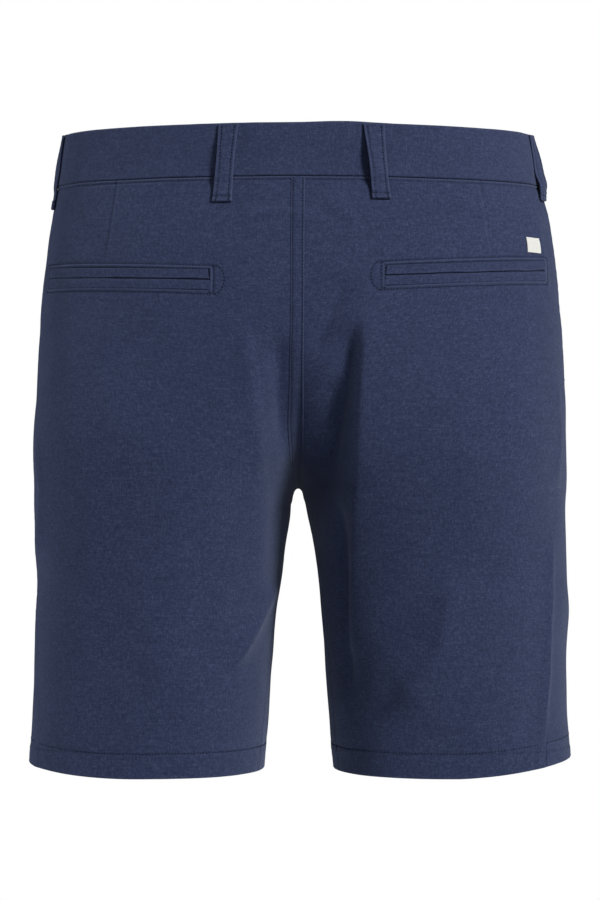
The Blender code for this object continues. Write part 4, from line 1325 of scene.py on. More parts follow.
def loop_surface(loop):
    """A belt loop's surface of points and normals, the drop of its rows, its lift and thickness,
    and the distance of its points from its edges."""
    height = LOOP_TOP - loop["end"]
    drop = spread(height, ((0.0, 1.0, 0.3), (height - 5.5, height, 0.4)), 1.3)
    heights = LOOP_TOP - drop
    share = drop / height
    centre = loop["top_turn"] + (loop["bottom_turn"] - loop["top_turn"]) * share
    width = loop["top_width"] + (loop["bottom_width"] - loop["top_width"]) * share
    width = width - LOOP_WAIST * np.sin(pi * np.clip(share * 1.08, 0.0, 1.0))
    flare_top, flare_low = (loop["end"] + above for above in LOOP_FLARE_ENDS)
    width = width + LOOP_FLARE * ease(flare_top, flare_low, heights)
    ahead = ring(centre + CLOTH_STEP, heights)[0]
    run = np.linalg.norm(ahead - ring(centre, heights)[0], axis=-1)
    half = spread(7.5, ((0.0, 0.8, 0.25), (LOOP_ROW - 0.8, LOOP_ROW + 0.8, 0.4)), 1.1) / 15.0
    across = np.concatenate([half - 0.5, (0.5 - half)[::-1][1:]])
    turns = centre[:, None] + across * (width * CLOTH_STEP / run)[:, None]
    on_band = BAND_PROUD + LAYER_GAP
    base = on_band + (LAYER_GAP - on_band) * ease(BAND_SEAM - 1.0, BAND_SEAM - 8.0, heights)
    bulge = loop["bow"] * np.sin(pi * share) ** 1.6
    bulge = bulge + loop["low_bow"] * bell(share, 0.78, 0.15) * ease(1.0, 0.93, share)
    twist = loop["twist"] * 2 * across * (np.sin(pi * share) ** 1.5)[:, None]
    fold_top, fold_low = (loop["end"] + above for above in LOOP_FOLD_ENDS)
    thick = LOOP_CLOTH + (LOOP_FOLD - LOOP_CLOTH) * ease(fold_top, fold_low, heights)
    from_edge = (0.5 - np.abs(across)) * width[:, None]
    lift = (base + bulge + thick)[:, None] + twist
    return ring(turns, heights[:, None]), drop, lift, thick[:, None], from_edge


def make_loop(loop):
    """One belt loop over the waistband."""
    surface, drop, lift, thick, from_edge = loop_surface(loop)
    down = np.broadcast_to(drop[:, None], from_edge.shape)
    edge = rim(from_edge, LOOP_CLOTH) * rims(down, LOOP_CLOTH, 0)
    foot = drop[-1] - down
    lift = lift + bells(from_edge, LOOP_EDGE_RELIEF) + bells(foot, LOOP_END_RELIEF)
    lift = lift + 0.08 * pucker(down, 4.6)
    # The loop is a little lighter all over and at its rubbed edges and foot; painted shade darkens
    # its stitch rows.
    wear_and_shade = 0.08 + bells(from_edge, LOOP_EDGE_WEAR_AND_SHADE) + bells(foot, LOOP_END_WEAR_AND_SHADE)
    piece = make_cloth("loop_" + loop["place"], surface, lift, thick, edge, 900.0, wear_and_shade)
    finish(piece, ("belt_loop_" + loop["place"],))


class ShortsLoops(bpy.types.Operator):
    """Make the six belt loops"""

    bl_idname = "shorts.make_loops"
    bl_label = "Make Belt Loops"

    def execute(self, context):
        for loop in named(LOOP_COLUMNS, LOOPS):
            make_loop(loop)
        return {"FINISHED"}


# ---------------------------------------------------------------- pieces on the back

def back_lift(side, point):
    """Height of a back panel's outer face at a point, for what is sewn onto it."""
    return pocket_relief(side, point)[0] + dart_relief(side, point)[0]


def make_welt(side, hand, name, sign):
    """One welt of a back pocket; sign is 1 above the slit and -1 below it."""
    (x0, z0), (x1, z1) = WELT_ENDS[side]
    wide = x1 - x0
    seen = wide - 2 * WELT_TRIM
    share = spread(seen, ((0.0, 1.0, 0.3), (wide - 1.4, wide, 0.3)), 1.6) / seen
    start = float(way_at(side, "back", x0 + WELT_TRIM, z0))
    end = float(way_at(side, "back", x1 - WELT_TRIM, z1))
    gape = WELT_GAPE * pucker(share * 125.0, 41.0, 1.0 + side) * ease(0.0, 0.1, share)
    gape = gape + WELT_SLIT / 2
    down = spread(WELT_WIDTH, ((0.0, 0.9, 0.2), (WELT_WIDTH - 0.7, WELT_WIDTH, 0.25)), 1.1)
    reach = (down / WELT_WIDTH)[:, None]
    levels = z0 + (z1 - z0) * share + sign * (
        gape + (WELT_WIDTH + WELT_SLIT / 2 - gape) * reach)
    surface = cloth(side, np.broadcast_to(start + (end - start) * share, levels.shape), levels)
    away = np.broadcast_to(down[:, None], levels.shape)
    along_it = np.broadcast_to(share * wide, levels.shape)
    edge = (rim(away, WELT_CLOTH) * rim(WELT_WIDTH - away, WELT_CLOTH * 0.7)
            * rim(along_it, WELT_CLOTH) * rim(seen - along_it, WELT_CLOTH))
    lift = WELT_CLOTH - WELT_SUNK + 0.06 + WELT_BULGE * np.sin(pi * np.clip(reach, 0, 1))
    lift = lift + 0.07 * pucker(along_it, 13.0, sign)
    # Painted shade darkens the welt's edge at the slit; its fold is lighter where rubbed, and the
    # whole welt is a little darker.
    wear_and_shade = bells(away, WELT_WEAR_AND_SHADE) - 0.05
    welt = make_cloth(f"pocket_welt_{name}_{hand}", surface, lift, WELT_CLOTH, edge,
                      1000.0 + 50 * sign, wear_and_shade)
    finish(welt, (f"welt_{name}_{hand}",))


class ShortsWelts(bpy.types.Operator):
    """Make the two welts of each back pocket"""

    bl_idname = "shorts.make_welts"
    bl_label = "Make Welts"

    def execute(self, context):
        for side, hand in HANDS:
            make_welt(side, hand, "upper", 1.0)
            make_welt(side, hand, "lower", -1.0)
        return {"FINISHED"}


def seat_line(offset):
    """Points and normals of a line beside the centre seam, from the waist at the back through
    the crotch to the fly's end, evenly spaced; offset is its signed distance from the centre."""
    side = 1 if offset > 0 else -1
    x = abs(offset)
    ways, heights = [], []
    for face, sign, top in (("back", 1.0, BAND_SEAM - 0.6), ("front", -1.0, FLY_END)):
        upper = np.linspace(top, SEAT_TURN, 160)
        upper_way = way_at(side, face, x, upper)
        lower_way = sign * np.linspace(abs(float(upper_way[-1])), 1.0, 120)[1:]
        low = np.full(lower_way.shape, SEAT_LOWEST)
        high = np.full(lower_way.shape, SEAT_TURN)
        for _ in range(HALVINGS + 10):
            middle = (low + high) / 2
            inside = np.abs(base_point(side, lower_way, middle)[..., 0]) > x
            low = np.where(inside, middle, low)
            high = np.where(inside, high, middle)
        way = np.concatenate([upper_way, lower_way])
        height = np.concatenate([upper, (low + high) / 2])
        ways.append(way if face == "back" else way[::-1])
        heights.append(height if face == "back" else height[::-1])
    return cloth(side, np.concatenate(ways), np.concatenate(heights))


def resample(point, normal, count):
    """A line's points and normals at even distances."""
    run = lengths(point[None], 1)[0]
    run = run + np.arange(len(run)) * 1e-7
    at = np.linspace(0.0, run[-1], count)
    place, facing = (np.stack([np.interp(at, run, grid[:, k]) for k in range(3)], axis=-1)
                     for grid in (point, normal))
    return place, facing / np.linalg.norm(facing, axis=-1, keepdims=True)


def seat_surface(offsets):
    """Points and normals under the seat seam at distances from its middle line, which drifts a
    little to the left on its way down, and how far the seam is sunk at the crotch."""
    gauge = np.array([-8.0, -6.4, -5.0, -3.8, -2.4, -0.8, 0.8, 2.4, 3.8, 5.0, 6.4, 8.0])
    grids = []
    for offset in gauge:
        line, facing = seat_line(offset)
        half = len(line) // 2
        back = resample(line[:half], facing[:half], SEAT_ROWS[0])
        front = resample(line[half:], facing[half:], SEAT_ROWS[1])
        grids.append([np.concatenate([upper, lower[1:]]) for upper, lower in zip(back, front)])
    point, normal = (np.stack(part, axis=1) for part in zip(*grids))
    drift = np.interp(point[:, len(gauge) // 2, 2], *np.array(SEAT_DRIFT).T)
    drift = drift * np.clip((SEAT_ROWS[0] - 2 - np.arange(len(drift))) / 14.0, 0.0, 1.0)
    place = offsets[None] - drift[:, None]
    surface = tuple(
        np.stack([[np.interp(place[row], gauge, grid[row, :, k]) for row in range(len(place))]
                  for k in range(3)], axis=-1) for grid in (point, normal))
    down = lengths(surface[0], 0)
    depth, width = SEAT_SUNK
    return *surface, down, depth * bell(down, down[SEAT_ROWS[0]], width)


class ShortsSeatStrip(bpy.types.Operator):
    """Make the felled strip over the centre back seam"""

    bl_idname = "shorts.make_seat_strip"
    bl_label = "Make Seat Seam"

    def execute(self, context):
        half = [BACK_STRIP, 4.75, 4.2, BACK_ROW, 3.0, 1.0]
        offsets = np.array([-place for place in half] + half[::-1])
        point, normal, down, sunk = seat_surface(offsets)
        normal[..., 0] *= np.clip(np.abs(offsets) / BACK_STRIP, 0.3, 1.0)
        normal = normal / np.linalg.norm(normal, axis=-1, keepdims=True)
        from_edge = BACK_STRIP - np.abs(offsets)[None] + np.zeros(point.shape[:2])
        edge = rim(from_edge, BACK_STRIP_CLOTH) * rim(down, BACK_STRIP_CLOTH)
        lift = BACK_STRIP_CLOTH + 0.08 + bells(from_edge, STRIP_RELIEF) - sunk
        lift = lift + 0.07 * pucker(down, 5.5) + 0.25 * ease(BACK_ROW, 1.5, np.abs(offsets))
        # The strip's edges are lighter where rubbed; painted shade darkens its stitch rows and the
        # cloth beside the crotch.
        wear_and_shade = bells(from_edge, STRIP_WEAR_AND_SHADE) - crotch_shade(point)
        strip = make_cloth("seat_seam_strip", (point, normal), lift, BACK_STRIP_CLOTH, edge,
                           1200.0, wear_and_shade)
        finish(strip)
        return {"FINISHED"}


class ShortsLabel(bpy.types.Operator):
    """Make the small bare woven tab on the right back"""

    bl_idname = "shorts.make_label"
    bl_label = "Make Label"

    def execute(self, context):
        x, z = LABEL_PLACE
        wide, high = LABEL_SIZE
        centre = float(way_at(1, "back", x, z))
        run = stretch(1, np.array(centre), np.array(z), CLOTH_STEP)
        across = spread(wide, ((0.0, 0.5, 0.12), (wide - 0.5, wide, 0.12)), 0.9) - wide / 2
        down = spread(high, ((0.0, 0.5, 0.12), (high - 0.5, high, 0.12)), 0.9)[:, None]
        lean, skew = LABEL_LEAN
        ways = centre - (across + lean * down) / run
        levels = z + high / 2 - down + skew * across
        from_side = np.broadcast_to(wide / 2 - np.abs(across), levels.shape)
        from_end = np.broadcast_to(np.minimum(down, high - down), levels.shape)
        edge = rim(from_side, LABEL_CLOTH) * rim(from_end, LABEL_CLOTH)
        lift = 0.12 + LABEL_CLOTH + 0.25 * bell(from_side, 0.0, 2.0) * np.sin(down / high * pi)
        tape = cloth_material("white_woven_tape", context.scene.shorts_finish.label,
                              0.00036, 0.35, 1.12, 0.8, 0.00008)
        # The tab is darker along its two sides.
        label = make_cloth("bare_label", cloth(1, ways, levels), lift, LABEL_CLOTH, edge,
                           wear_and_shade=-0.25 * bell(from_side, 0.0, 0.5), material=tape)
        finish(label, ("label",))
        return {"FINISHED"}


# ---------------------------------------------------------------- button

def make_tube(name, lines, radius, material):
    """Six-sided strands along lines of points in millimetres, as one piece."""
    sides = 6
    angle = np.linspace(0.0, 2 * pi, sides, endpoint=False)[None, :, None]
    points, faces = [], []
    for line in lines:
        line = np.asarray(line, float)
        way = np.gradient(line, axis=0)
        way = way / np.linalg.norm(way, axis=-1, keepdims=True)
        up = [0.0, 0.0, 1.0] if abs(way[0, 2]) < 0.8 else [1.0, 0.0, 0.0]
        one = np.cross(way, up)
        one = one / np.linalg.norm(one, axis=-1, keepdims=True)
        two = np.cross(way, one)
        taper = np.ones(len(line))
        taper[[0, -1]] = 0.35
        first = sum(len(part) for part in points)
        points.append((line[:, None] + radius * taper[:, None, None] * (
            np.cos(angle) * one[:, None] + np.sin(angle) * two[:, None])).reshape(-1, 3))
        for row in range(first, first + (len(line) - 1) * sides, sides):
            for col in range(sides):
                follow = (col + 1) % sides
                faces.append([row + col, row + follow, row + sides + follow, row + sides + col])
        last = first + (len(line) - 1) * sides
        faces += [[first + k for k in quad] for quad in ((3, 2, 1, 0), (5, 4, 3, 0))]
        faces += [[last + k for k in quad] for quad in ((0, 1, 2, 3), (0, 3, 4, 5))]
    return make_piece(name, np.concatenate(points), faces, material)


def button_frame():
    """The button's place and facing."""
    x, z = BUTTON_PLACE
    point, normal = ring(turn_at("front", x, z), z)
    facing = Vector(normal.tolist()).to_track_quat("Z", "Y").to_matrix().to_4x4()
    seat = point + normal * (BAND_PROUD + BUTTON_SHANK + 0.1)
    return Matrix.Translation(Vector(seat.tolist()) * MM) @ facing


def turned_button():
    """The button's turned blank, without its holes."""
    radius = BUTTON_WIDTH / 2
    dish = radius - BUTTON_RIM
    top = BUTTON_DEPTH
    profile = (
        (radius - 1.5, 0.0), (radius - 0.7, 0.12), (radius - 0.2, 0.5), (radius, 1.1),
        (radius, top - 1.0), (radius - 0.15, top - 0.5), (radius - 0.5, top - 0.15),
        (radius - 1.0, top), (dish + 0.2, top - 0.05), (dish - 0.3, top - 0.3),
        (dish - 0.9, top - BUTTON_DISH + 0.1), (dish - 1.8, top - BUTTON_DISH))
    editor = bmesh.new()
    angles = [2 * pi * step / BUTTON_SIDES for step in range(BUTTON_SIDES)]
    rings = [[editor.verts.new((reach * np.cos(a) * MM, reach * np.sin(a) * MM, height * MM))
              for a in angles] for reach, height in profile]
    for low, high in zip(rings, rings[1:]):
        for step in range(BUTTON_SIDES):
            follow = (step + 1) % BUTTON_SIDES
            editor.faces.new((low[step], low[follow], high[follow], high[step]))
    editor.faces.new(rings[0][::-1])
    editor.faces.new(rings[-1])
    return mesh_from(editor, "button_blank")


def button_drill():
    """Four round pins where the button's holes go."""
    editor = bmesh.new()
    radius = BUTTON_HOLE / 2 * MM
    for x in (-BUTTON_HOLE_PLACE, BUTTON_HOLE_PLACE):
        for y in (-BUTTON_HOLE_PLACE, BUTTON_HOLE_PLACE):
            bmesh.ops.create_cone(
                editor, cap_ends=True, segments=20, radius1=radius, radius2=radius,
                depth=4 * BUTTON_DEPTH * MM, matrix=Matrix.Translation((x * MM, y * MM, 0)))
    return mesh_from(editor, "button_drill")


class ShortsButton(bpy.types.Operator):
    """Make the waist button and its thread"""

    bl_idname = "shorts.make_button"
    bl_label = "Make Button"

    def execute(self, context):
        blank = put_in_scene("button_blank", turned_button())
        drill = put_in_scene("button_drill", button_drill())
        holes = blank.modifiers.new("holes", "BOOLEAN")
        holes.operation = "DIFFERENCE"
        holes.solver = "EXACT"
        holes.object = drill
        solid = evaluated_mesh(blank)
        place = button_frame()
        solid.transform(place)
        for item in (blank, drill):
            bpy.data.objects.remove(item, do_unlink=True)
        solid.name = "button_four_hole"
        solid.materials.clear()
        solid.materials.append(plain_material(
            "button_resin_marbled", context.scene.shorts_finish.button, 0.36, 0.35, 260.0,
            0.00002, 0.5))
        solid.shade_smooth()
        solid.set_sharp_from_angle(angle=radians(40))
        button = put_in_scene("button_four_hole", solid)
        finish(button, ("waist_button",))

        share = np.linspace(-1.0, 1.0, 13)
        height = BUTTON_DEPTH - BUTTON_DISH + STRAND_LIFT
        height = height - STRAND_DIVE * ease(0.78, 1.0, np.abs(share))
        strands = []
        for across in (-BUTTON_HOLE_PLACE, BUTTON_HOLE_PLACE):
            for shift in STRAND_SHIFTS:
                path = np.stack([share * (BUTTON_HOLE_PLACE + 0.15),
                                 np.full(13, across + shift), height], axis=-1)
                strands.append([tuple((place @ Vector(spot * MM)) / MM) for spot in path])
        finish(make_tube("button_thread", strands, STRAND_WIDTH, thread_material()))
        return {"FINISHED"}


# ---------------------------------------------------------------- stitching

def stitch_tree():
    """Geometry nodes that lay stitches along sewn lines."""
    name = "Stitches along a line"
    if name in bpy.data.node_groups:
        return bpy.data.node_groups[name]
    tree = bpy.data.node_groups.new(name, "GeometryNodeTree")
    group_socket(tree, "Geometry", "NodeSocketGeometry")
    for label, value in (
            ("Pitch", 0.0024), ("Length", 0.002), ("Width", 0.0004), ("Height", 0.0003),
            ("Start", 0.0), ("Turn", 0.0), ("Unevenness", 0.1)):
        group_socket(tree, label, "NodeSocketFloat", value=value)
    group_socket(tree, "Seed", "NodeSocketInt", value=3)
    group_socket(tree, "Material", "NodeSocketMaterial")
    group_socket(tree, "Geometry", "NodeSocketGeometry", "OUTPUT")
    desk = NodeDesk(tree)
    given = desk.add("NodeGroupInput").outputs
    curve = desk.feed("GeometryNodeMeshToCurve", {"Mesh": given["Geometry"]})
    # The last two inputs are where the sewn length starts and ends, in metres.
    trim = desk.feed("GeometryNodeTrimCurve", {"Curve": curve[0], 4: given["Start"], 5: 100.0},
                     mode="LENGTH")
    even = desk.feed("GeometryNodeResampleCurve", {"Curve": trim[0], "Length": given["Pitch"]},
                     mode="LENGTH")
    bead = desk.feed("GeometryNodeMeshUVSphere", {"Segments": 6, "Rings": 4, "Radius": 0.5})
    facing = desk.feed("GeometryNodeInputNamedAttribute", {"Name": "facing"},
                       data_type="FLOAT_VECTOR")
    upright = desk.feed("FunctionNodeAlignRotationToVector", {"Vector": facing[0]}, axis="Z")
    tangent = desk.add("GeometryNodeInputTangent").outputs[0]
    laid = desk.feed("FunctionNodeAlignRotationToVector",
                     {"Rotation": upright[0], "Vector": tangent}, axis="X", pivot_axis="Z")
    # A random value's third and fourth inputs and second output are its plain numbers.
    lean = desk.feed("FunctionNodeRandomValue", {
        2: desk.maths("MULTIPLY", given["Unevenness"], -1.0), 3: given["Unevenness"],
        "Seed": given["Seed"]}, data_type="FLOAT")
    spin = desk.feed("FunctionNodeEulerToRotation", {
        0: desk.vector(0.0, 0.0, desk.maths("ADD", lean[1], given["Turn"]))})
    turned = desk.feed("FunctionNodeRotateRotation", {0: laid[0], 1: spin[0]},
                       rotation_space="LOCAL")
    placed = desk.feed("GeometryNodeInstanceOnPoints", {
        "Points": even[0], "Instance": bead["Mesh"], "Rotation": turned[0],
        "Scale": desk.vector(given["Length"], given["Width"], given["Height"])})
    real = desk.feed("GeometryNodeRealizeInstances", {0: placed[0]})
    coloured = desk.feed("GeometryNodeSetMaterial", {
        "Geometry": real[0], "Material": given["Material"]})
    desk.feed("NodeGroupOutput", {0: coloured[0]})
    return tree


def lay_stitches(name, lines, **inputs):
    """One piece of stitches along lines of (points, normals, closed), by the node tree."""
    points = np.concatenate([line[0] for line in lines])
    facings = np.concatenate([line[1] for line in lines])
    edges = []
    first = 0
    for line, _, closed in lines:
        last = first + len(line) - 1
        edges += [(k, k + 1) for k in range(first, last)] + [(last, first)] * closed
        first = last + 1
    mesh = bpy.data.meshes.new(name + "_lines")
    mesh.from_pydata((points * MM).tolist(), edges, [])
    attribute = mesh.attributes.new("facing", "FLOAT_VECTOR", "POINT")
    attribute.data.foreach_set("vector", facings.ravel())
    carrier = put_in_scene(name + "_lines", mesh)
    modifier = carrier.modifiers.new("stitches", "NODES")
    modifier.node_group = stitch_tree()
    for item in modifier.node_group.interface.items_tree:
        if item.item_type == "SOCKET" and item.in_out == "INPUT" and item.name in inputs:
            modifier[item.identifier] = inputs[item.name]
    sewn = evaluated_mesh(carrier)
    bpy.data.objects.remove(carrier, do_unlink=True)
    sewn.name = name
    sewn.shade_smooth()
    return finish(put_in_scene(name, sewn))


def sew(name, lines, pitch=None):
    """A sewn row: its thread, and painted shade marks at the needle holes between the stitches."""
    sizes = bpy.context.scene.shorts_sizes
    pitch = sizes.stitch_pitch if pitch is None else pitch
    width, hole = sizes.thread_width, sizes.hole_shade_width
    lay_stitches("thread_" + name, lines, Pitch=pitch, Length=pitch * STITCH_SHARE, Width=width,
                 Height=width * THREAD_HEIGHT, Unevenness=0.06, Material=thread_material())
    # Dark beads of painted shade stand for the needle holes between the stitches.
    lay_stitches("holes_" + name, lines, Pitch=pitch, Length=hole * HOLE_SHADE_LENGTH, Width=hole,
                 Height=hole * HOLE_SHADE_DEPTH, Start=pitch / 2, Material=needle_shade_material())


def bar_tack(name, lines):
    """Dense stitches across short lines, where a seam is made strong."""
    width = bpy.context.scene.shorts_sizes.thread_width
    lay_stitches("tack_" + name, lines, Pitch=width * TACK_PITCH, Length=TACK_LENGTH,
                 Width=width, Height=width, Turn=pi / 2, Unevenness=0.05,
                 Material=thread_material())


def laid_line(surface, out, closed=False):
    """A line of (points, normals) raised by a height, for sewing."""
    point, normal = surface
    return point + normal * np.broadcast_to(out, point.shape[:-1])[..., None], normal, closed


def panel_line(side, face, x, z, out=0.0):
    """A line on a panel's outer face through places as seen from the back."""
    x = np.asarray(x, float)
    z = np.asarray(z, float)
    point, normal = cloth(side, way_at(side, face, np.abs(x), z), z)
    lift = back_lift(side, point) if face == "back" else 0.0
    return laid_line((point, normal), lift + out)


def smooth_line(line, step=1.0):
    """Points every step along straight runs between corners."""
    line = np.asarray(line, float)
    run = lengths(line[None], 1)[0]
    at = np.linspace(0.0, run[-1], max(2, int(run[-1] / step)))
    return np.interp(at, run, line[:, 0]), np.interp(at, run, line[:, 1])


def pocket_lines(side):
    """Sewn rows round one back pocket: the frame, and the half round at its inner end."""
    (x0, z0), (x1, z1) = WELT_ENDS[side]
    half = POCKET_HALF + POCKET_ROW
    near, far = x0 - POCKET_ROW, x1 + 0.8 * POCKET_ROW
    frame = smooth_line([(near, z0 + half), (far, z1 + half), (far, z1 - half), (near, z0 - half)])
    bar = smooth_line([(near, z0 + half), (near, z0 - half)])
    second_bar = smooth_line([(x0 - 0.2, z0 + half - 1.5), (x0 - 0.2, z0 - half + 1.5)])
    angle = np.linspace(-pi / 2, pi / 2, 40)
    end = (near - POCKET_END * np.cos(angle), z0 + half * np.sin(angle))
    return [panel_line(side, "back", side * x, z, POCKET_LIFT)
            for x, z in (frame, bar, second_bar, end)]


def hem_lines():
    """The sewn row round each hem."""
    ways = np.linspace(-1.0, 1.0, 500, endpoint=False)
    return [laid_line(cloth(side, ways, HEM_ROW), HEM_LIFT, True) for side, _ in HANDS]


def loop_lines(loop):
    """The two rows down a belt loop and the rows across its lower end and its top."""
    (point, normal), drop, lift, _, from_edge = loop_surface(loop)
    surface = point + normal * (lift - 0.16)[..., None]
    lines = []
    middle = point.shape[1] // 2
    keep = (drop > 1.2) & (drop < drop[-1] - 0.8)
    for half in (slice(0, middle), slice(middle, None)):
        column = half.start + int(np.argmin(np.abs(from_edge[0, half] - LOOP_ROW)))
        lines.append((surface[keep, column], normal[keep, column], False))
    across = (from_edge > 0.7)[0]
    low, high = LOOP_END_ROWS
    for at in (drop[-1] - low, high):
        row = int(np.argmin(np.abs(drop - at)))
        lines.append(laid_line((surface[row, across], normal[row, across]), -0.12))
    return lines


def waist_lines():
    """The sewn row in the ditch under the waistband."""
    turns = even_turns(0.02, -3.99, 1.5, BAND_SEAM)
    return [laid_line(ring(turns, BAND_SEAM - 0.55), 0.02)]


def front_lines():
    """Rows beside the pocket mouths and the fly, the tacks at their ends, and the buttonhole."""
    rows, tacks = [], []
    for side, _ in HANDS:
        levels = np.linspace(BAND_SEAM - 1.2, MOUTH_END + 2.0, 160)
        seam = side_seam(side, levels)
        mouth = seam + (-1.0 - seam) * mouth_share(levels)
        run = stretch(side, mouth, levels, -CLOTH_STEP)
        for away in MOUTH_ROWS:
            rows.append(laid_line(cloth(side, mouth - away / run, levels), ROW_LIFT))
        for level in (BAND_SEAM - 4.5, MOUTH_END + 5.0):
            place, gauge = (float(np.interp(-level, -levels, values)) for values in (mouth, run))
            ways = place - np.linspace(*MOUTH_TACK, 12) / gauge
            tacks.append(laid_line(cloth(side, ways, level), TACK_LIFT))
    kernel = np.ones(7) / 7
    bend = smooth_line(FLY_ROW, 2.0)
    for values in bend:
        values[3:-3] = np.convolve(values, kernel, "valid")
    rows.append(panel_line(-1, "front", *bend, ROW_LIFT))
    curve = rounded(np.linspace(0.0, 2 * pi, 90, endpoint=False), 6.0)
    (x, z), (wide, high) = BUTTON_PLACE, BUTTONHOLE
    hole_x = x - wide / 2 + 2.0 + wide / 2 * curve[0]
    hole_z = z + high * curve[1]
    hole = ring(turn_at("front", hole_x, hole_z), hole_z)
    tacks.append(laid_line(hole, BAND_PROUD + TACK_LIFT, True))
    x, top, foot = FLY_TACK
    levels = np.linspace(top, foot, 10)
    tacks.append(panel_line(-1, "front", np.full(10, x), levels, FLY_TACK_LIFT))
    return rows, tacks


class ShortsStitching(bpy.types.Operator):
    """Sew the hems, seat seam, pockets, loops, waist seam and fly"""

    bl_idname = "shorts.make_stitching"
    bl_label = "Sew Stitching"

    def execute(self, context):
        sew("hem", hem_lines())
        point, normal, _, sunk = seat_surface(np.array([-BACK_ROW, BACK_ROW]))
        point = point + normal * (BACK_STRIP_CLOTH - 0.06 - sunk)[..., None]
        count = 2 * sum(SEAT_ROWS)
        sew("seat", [(*resample(point[:, row], normal[:, row], count), False) for row in (0, 1)])
        sew("pockets", pocket_lines(-1) + pocket_lines(1))
        loops = named(LOOP_COLUMNS, LOOPS)
        sew("loops", [line for loop in loops for line in loop_lines(loop)])
        rows, tacks = front_lines()
        sew("front", rows)
        bar_tack("front", tacks)
        sew("waist", waist_lines(), context.scene.shorts_sizes.stitch_pitch * WAIST_PITCH)
        return {"FINISHED"}


# ---------------------------------------------------------------- stage

class ShortsStage(bpy.types.Operator):
    """Set the floor, the lights and the camera"""

    bl_idname = "shorts.make_stage"
    bl_label = "Make Stage"

    def execute(self, context):
        scene = context.scene
        camera = put_in_scene("camera", bpy.data.cameras.new("camera"))
        camera.data.sensor_fit = "VERTICAL"
        camera.data.sensor_height = SENSOR
        camera.data.lens = CAMERA_LENS
        camera.data.clip_end = 50.0
        camera.location = CAMERA_PLACE
        camera.rotation_euler = (pi / 2, 0.0, 0.0)
        scene.camera = camera

        editor = bmesh.new()
        bmesh.ops.create_circle(editor, cap_ends=True, segments=96, radius=FLOOR_REACH,
                                matrix=Matrix.Translation((0, 0, FLOOR_LEVEL)))
        mesh = mesh_from(editor, "floor")
        mesh.materials.append(plain_material("pale_floor", FLOOR_COLOUR, 0.8, 0.01, 40.0))
        put_in_scene("floor", mesh)

        for name, place, size, power, colour in LAMPS:
            lamp = bpy.data.lights.new(name, "AREA")
            lamp.shape = "DISK"
            lamp.size = size
            lamp.energy = power
            lamp.color = colour
            light = put_in_scene(name, lamp)
            light.location = place
            aim = Vector(AIM) - light.location
            light.rotation_euler = aim.to_track_quat("-Z", "Y").to_euler()

        world = bpy.data.worlds.new("studio")
        world.use_nodes = True
        desk = NodeDesk(world.node_tree)
        world.node_tree.nodes.clear()
        lit, seen = (desk.feed("ShaderNodeBackground", {"Color": colour, "Strength": strength})
                     for colour, strength in (SKY_LIGHT, SKY_SEEN))
        rays = desk.add("ShaderNodeLightPath").outputs["Is Camera Ray"]
        both = desk.feed("ShaderNodeMixShader", {0: rays, 1: lit[0], 2: seen[0]})
        desk.feed("ShaderNodeOutputWorld", {0: both[0]})
        scene.world = world
        scene.view_settings.view_transform = "Standard"
        return {"FINISHED"}


# ---------------------------------------------------------------- sizes, colours, sidebar

class ShortsSizes(bpy.types.PropertyGroup):
    """Sizes that a user would change"""

    crease_strength: FloatProperty(
        name="Crease strength", description="How strongly the cloth is creased",
        default=1.0, min=0.0, max=2.0)
    unevenness: FloatProperty(
        name="Unevenness", description="Height of the cloth's soft waves",
        default=0.00045, unit="LENGTH")
    stitch_pitch: FloatProperty(
        name="Stitch pitch", description="Distance from stitch to stitch",
        default=0.0024, unit="LENGTH")
    thread_width: FloatProperty(
        name="Thread width", description="Width of the sewing thread",
        default=0.00042, unit="LENGTH")
    # The width of the dark marks of painted shade at the needle holes
    hole_shade_width: FloatProperty(
        name="Needle hole shade width", description="Width of the painted shade mark between stitches",
        default=0.0010, unit="LENGTH")


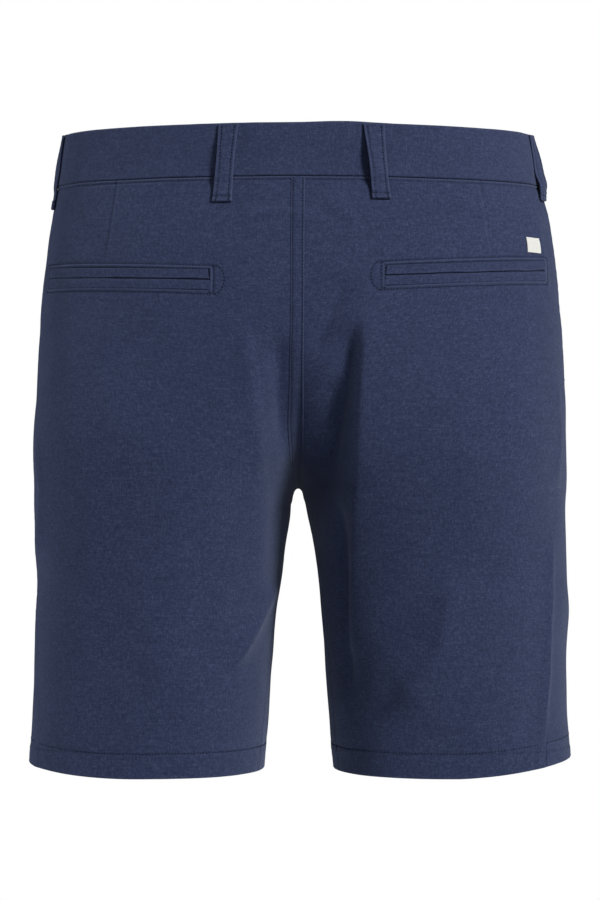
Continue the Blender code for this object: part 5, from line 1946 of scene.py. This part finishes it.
class ShortsFinish(bpy.types.PropertyGroup):
    """Colours that a user would change"""

    cloth: FloatVectorProperty(
        name="Cloth", description="Colour of the cloth",
        default=(0.0300, 0.0425, 0.1040), subtype="COLOR")
    thread: FloatVectorProperty(
        name="Thread", description="Colour of the thread",
        default=(0.031, 0.042, 0.098), subtype="COLOR")
    # Painted shade: the colour of the dark marks at the needle holes
    hole: FloatVectorProperty(
        name="Needle hole shade", description="Colour of the painted shade in the needle holes",
        default=(0.009, 0.012, 0.027), subtype="COLOR")
    label: FloatVectorProperty(
        name="Label", description="Colour of the bare tab",
        default=(0.78, 0.78, 0.745), subtype="COLOR")
    button: FloatVectorProperty(
        name="Button", description="Colour of the button",
        default=(0.022, 0.026, 0.05), subtype="COLOR")


OPERATORS = (
    ShortsPanels, ShortsFacings, ShortsFlyShield, ShortsWaistband, ShortsLoops, ShortsWelts,
    ShortsSeatStrip, ShortsLabel, ShortsButton, ShortsStitching, ShortsStage)


class ShortsSidebar(bpy.types.Panel):
    """Buttons and values for the shorts"""

    bl_label = "Bermuda Shorts"
    bl_idname = "VIEW3D_PT_bermuda_shorts"
    bl_space_type = "VIEW_3D"
    bl_region_type = "UI"
    bl_category = "Shorts"

    def draw(self, context):
        for group in (context.scene.shorts_sizes, context.scene.shorts_finish):
            for key in group.__annotations__:
                self.layout.prop(group, key)
        for operator in OPERATORS:
            self.layout.operator(operator.bl_idname)


CLASSES = (ShortsSizes, ShortsFinish, *OPERATORS, ShortsSidebar)


def register():
    """Register the classes and the scene's values."""
    for item in CLASSES:
        bpy.utils.register_class(item)
    bpy.types.Scene.shorts_sizes = PointerProperty(type=ShortsSizes)
    bpy.types.Scene.shorts_finish = PointerProperty(type=ShortsFinish)


def unregister():
    """Remove the scene's values and the classes."""
    del bpy.types.Scene.shorts_finish
    del bpy.types.Scene.shorts_sizes
    for item in reversed(CLASSES):
        bpy.utils.unregister_class(item)


def main():
    """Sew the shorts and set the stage."""
    register()
    for operator in OPERATORS:
        group, action = operator.bl_idname.split(".")
        getattr(getattr(bpy.ops, group), action)()


if __name__ == "__main__":
    main()
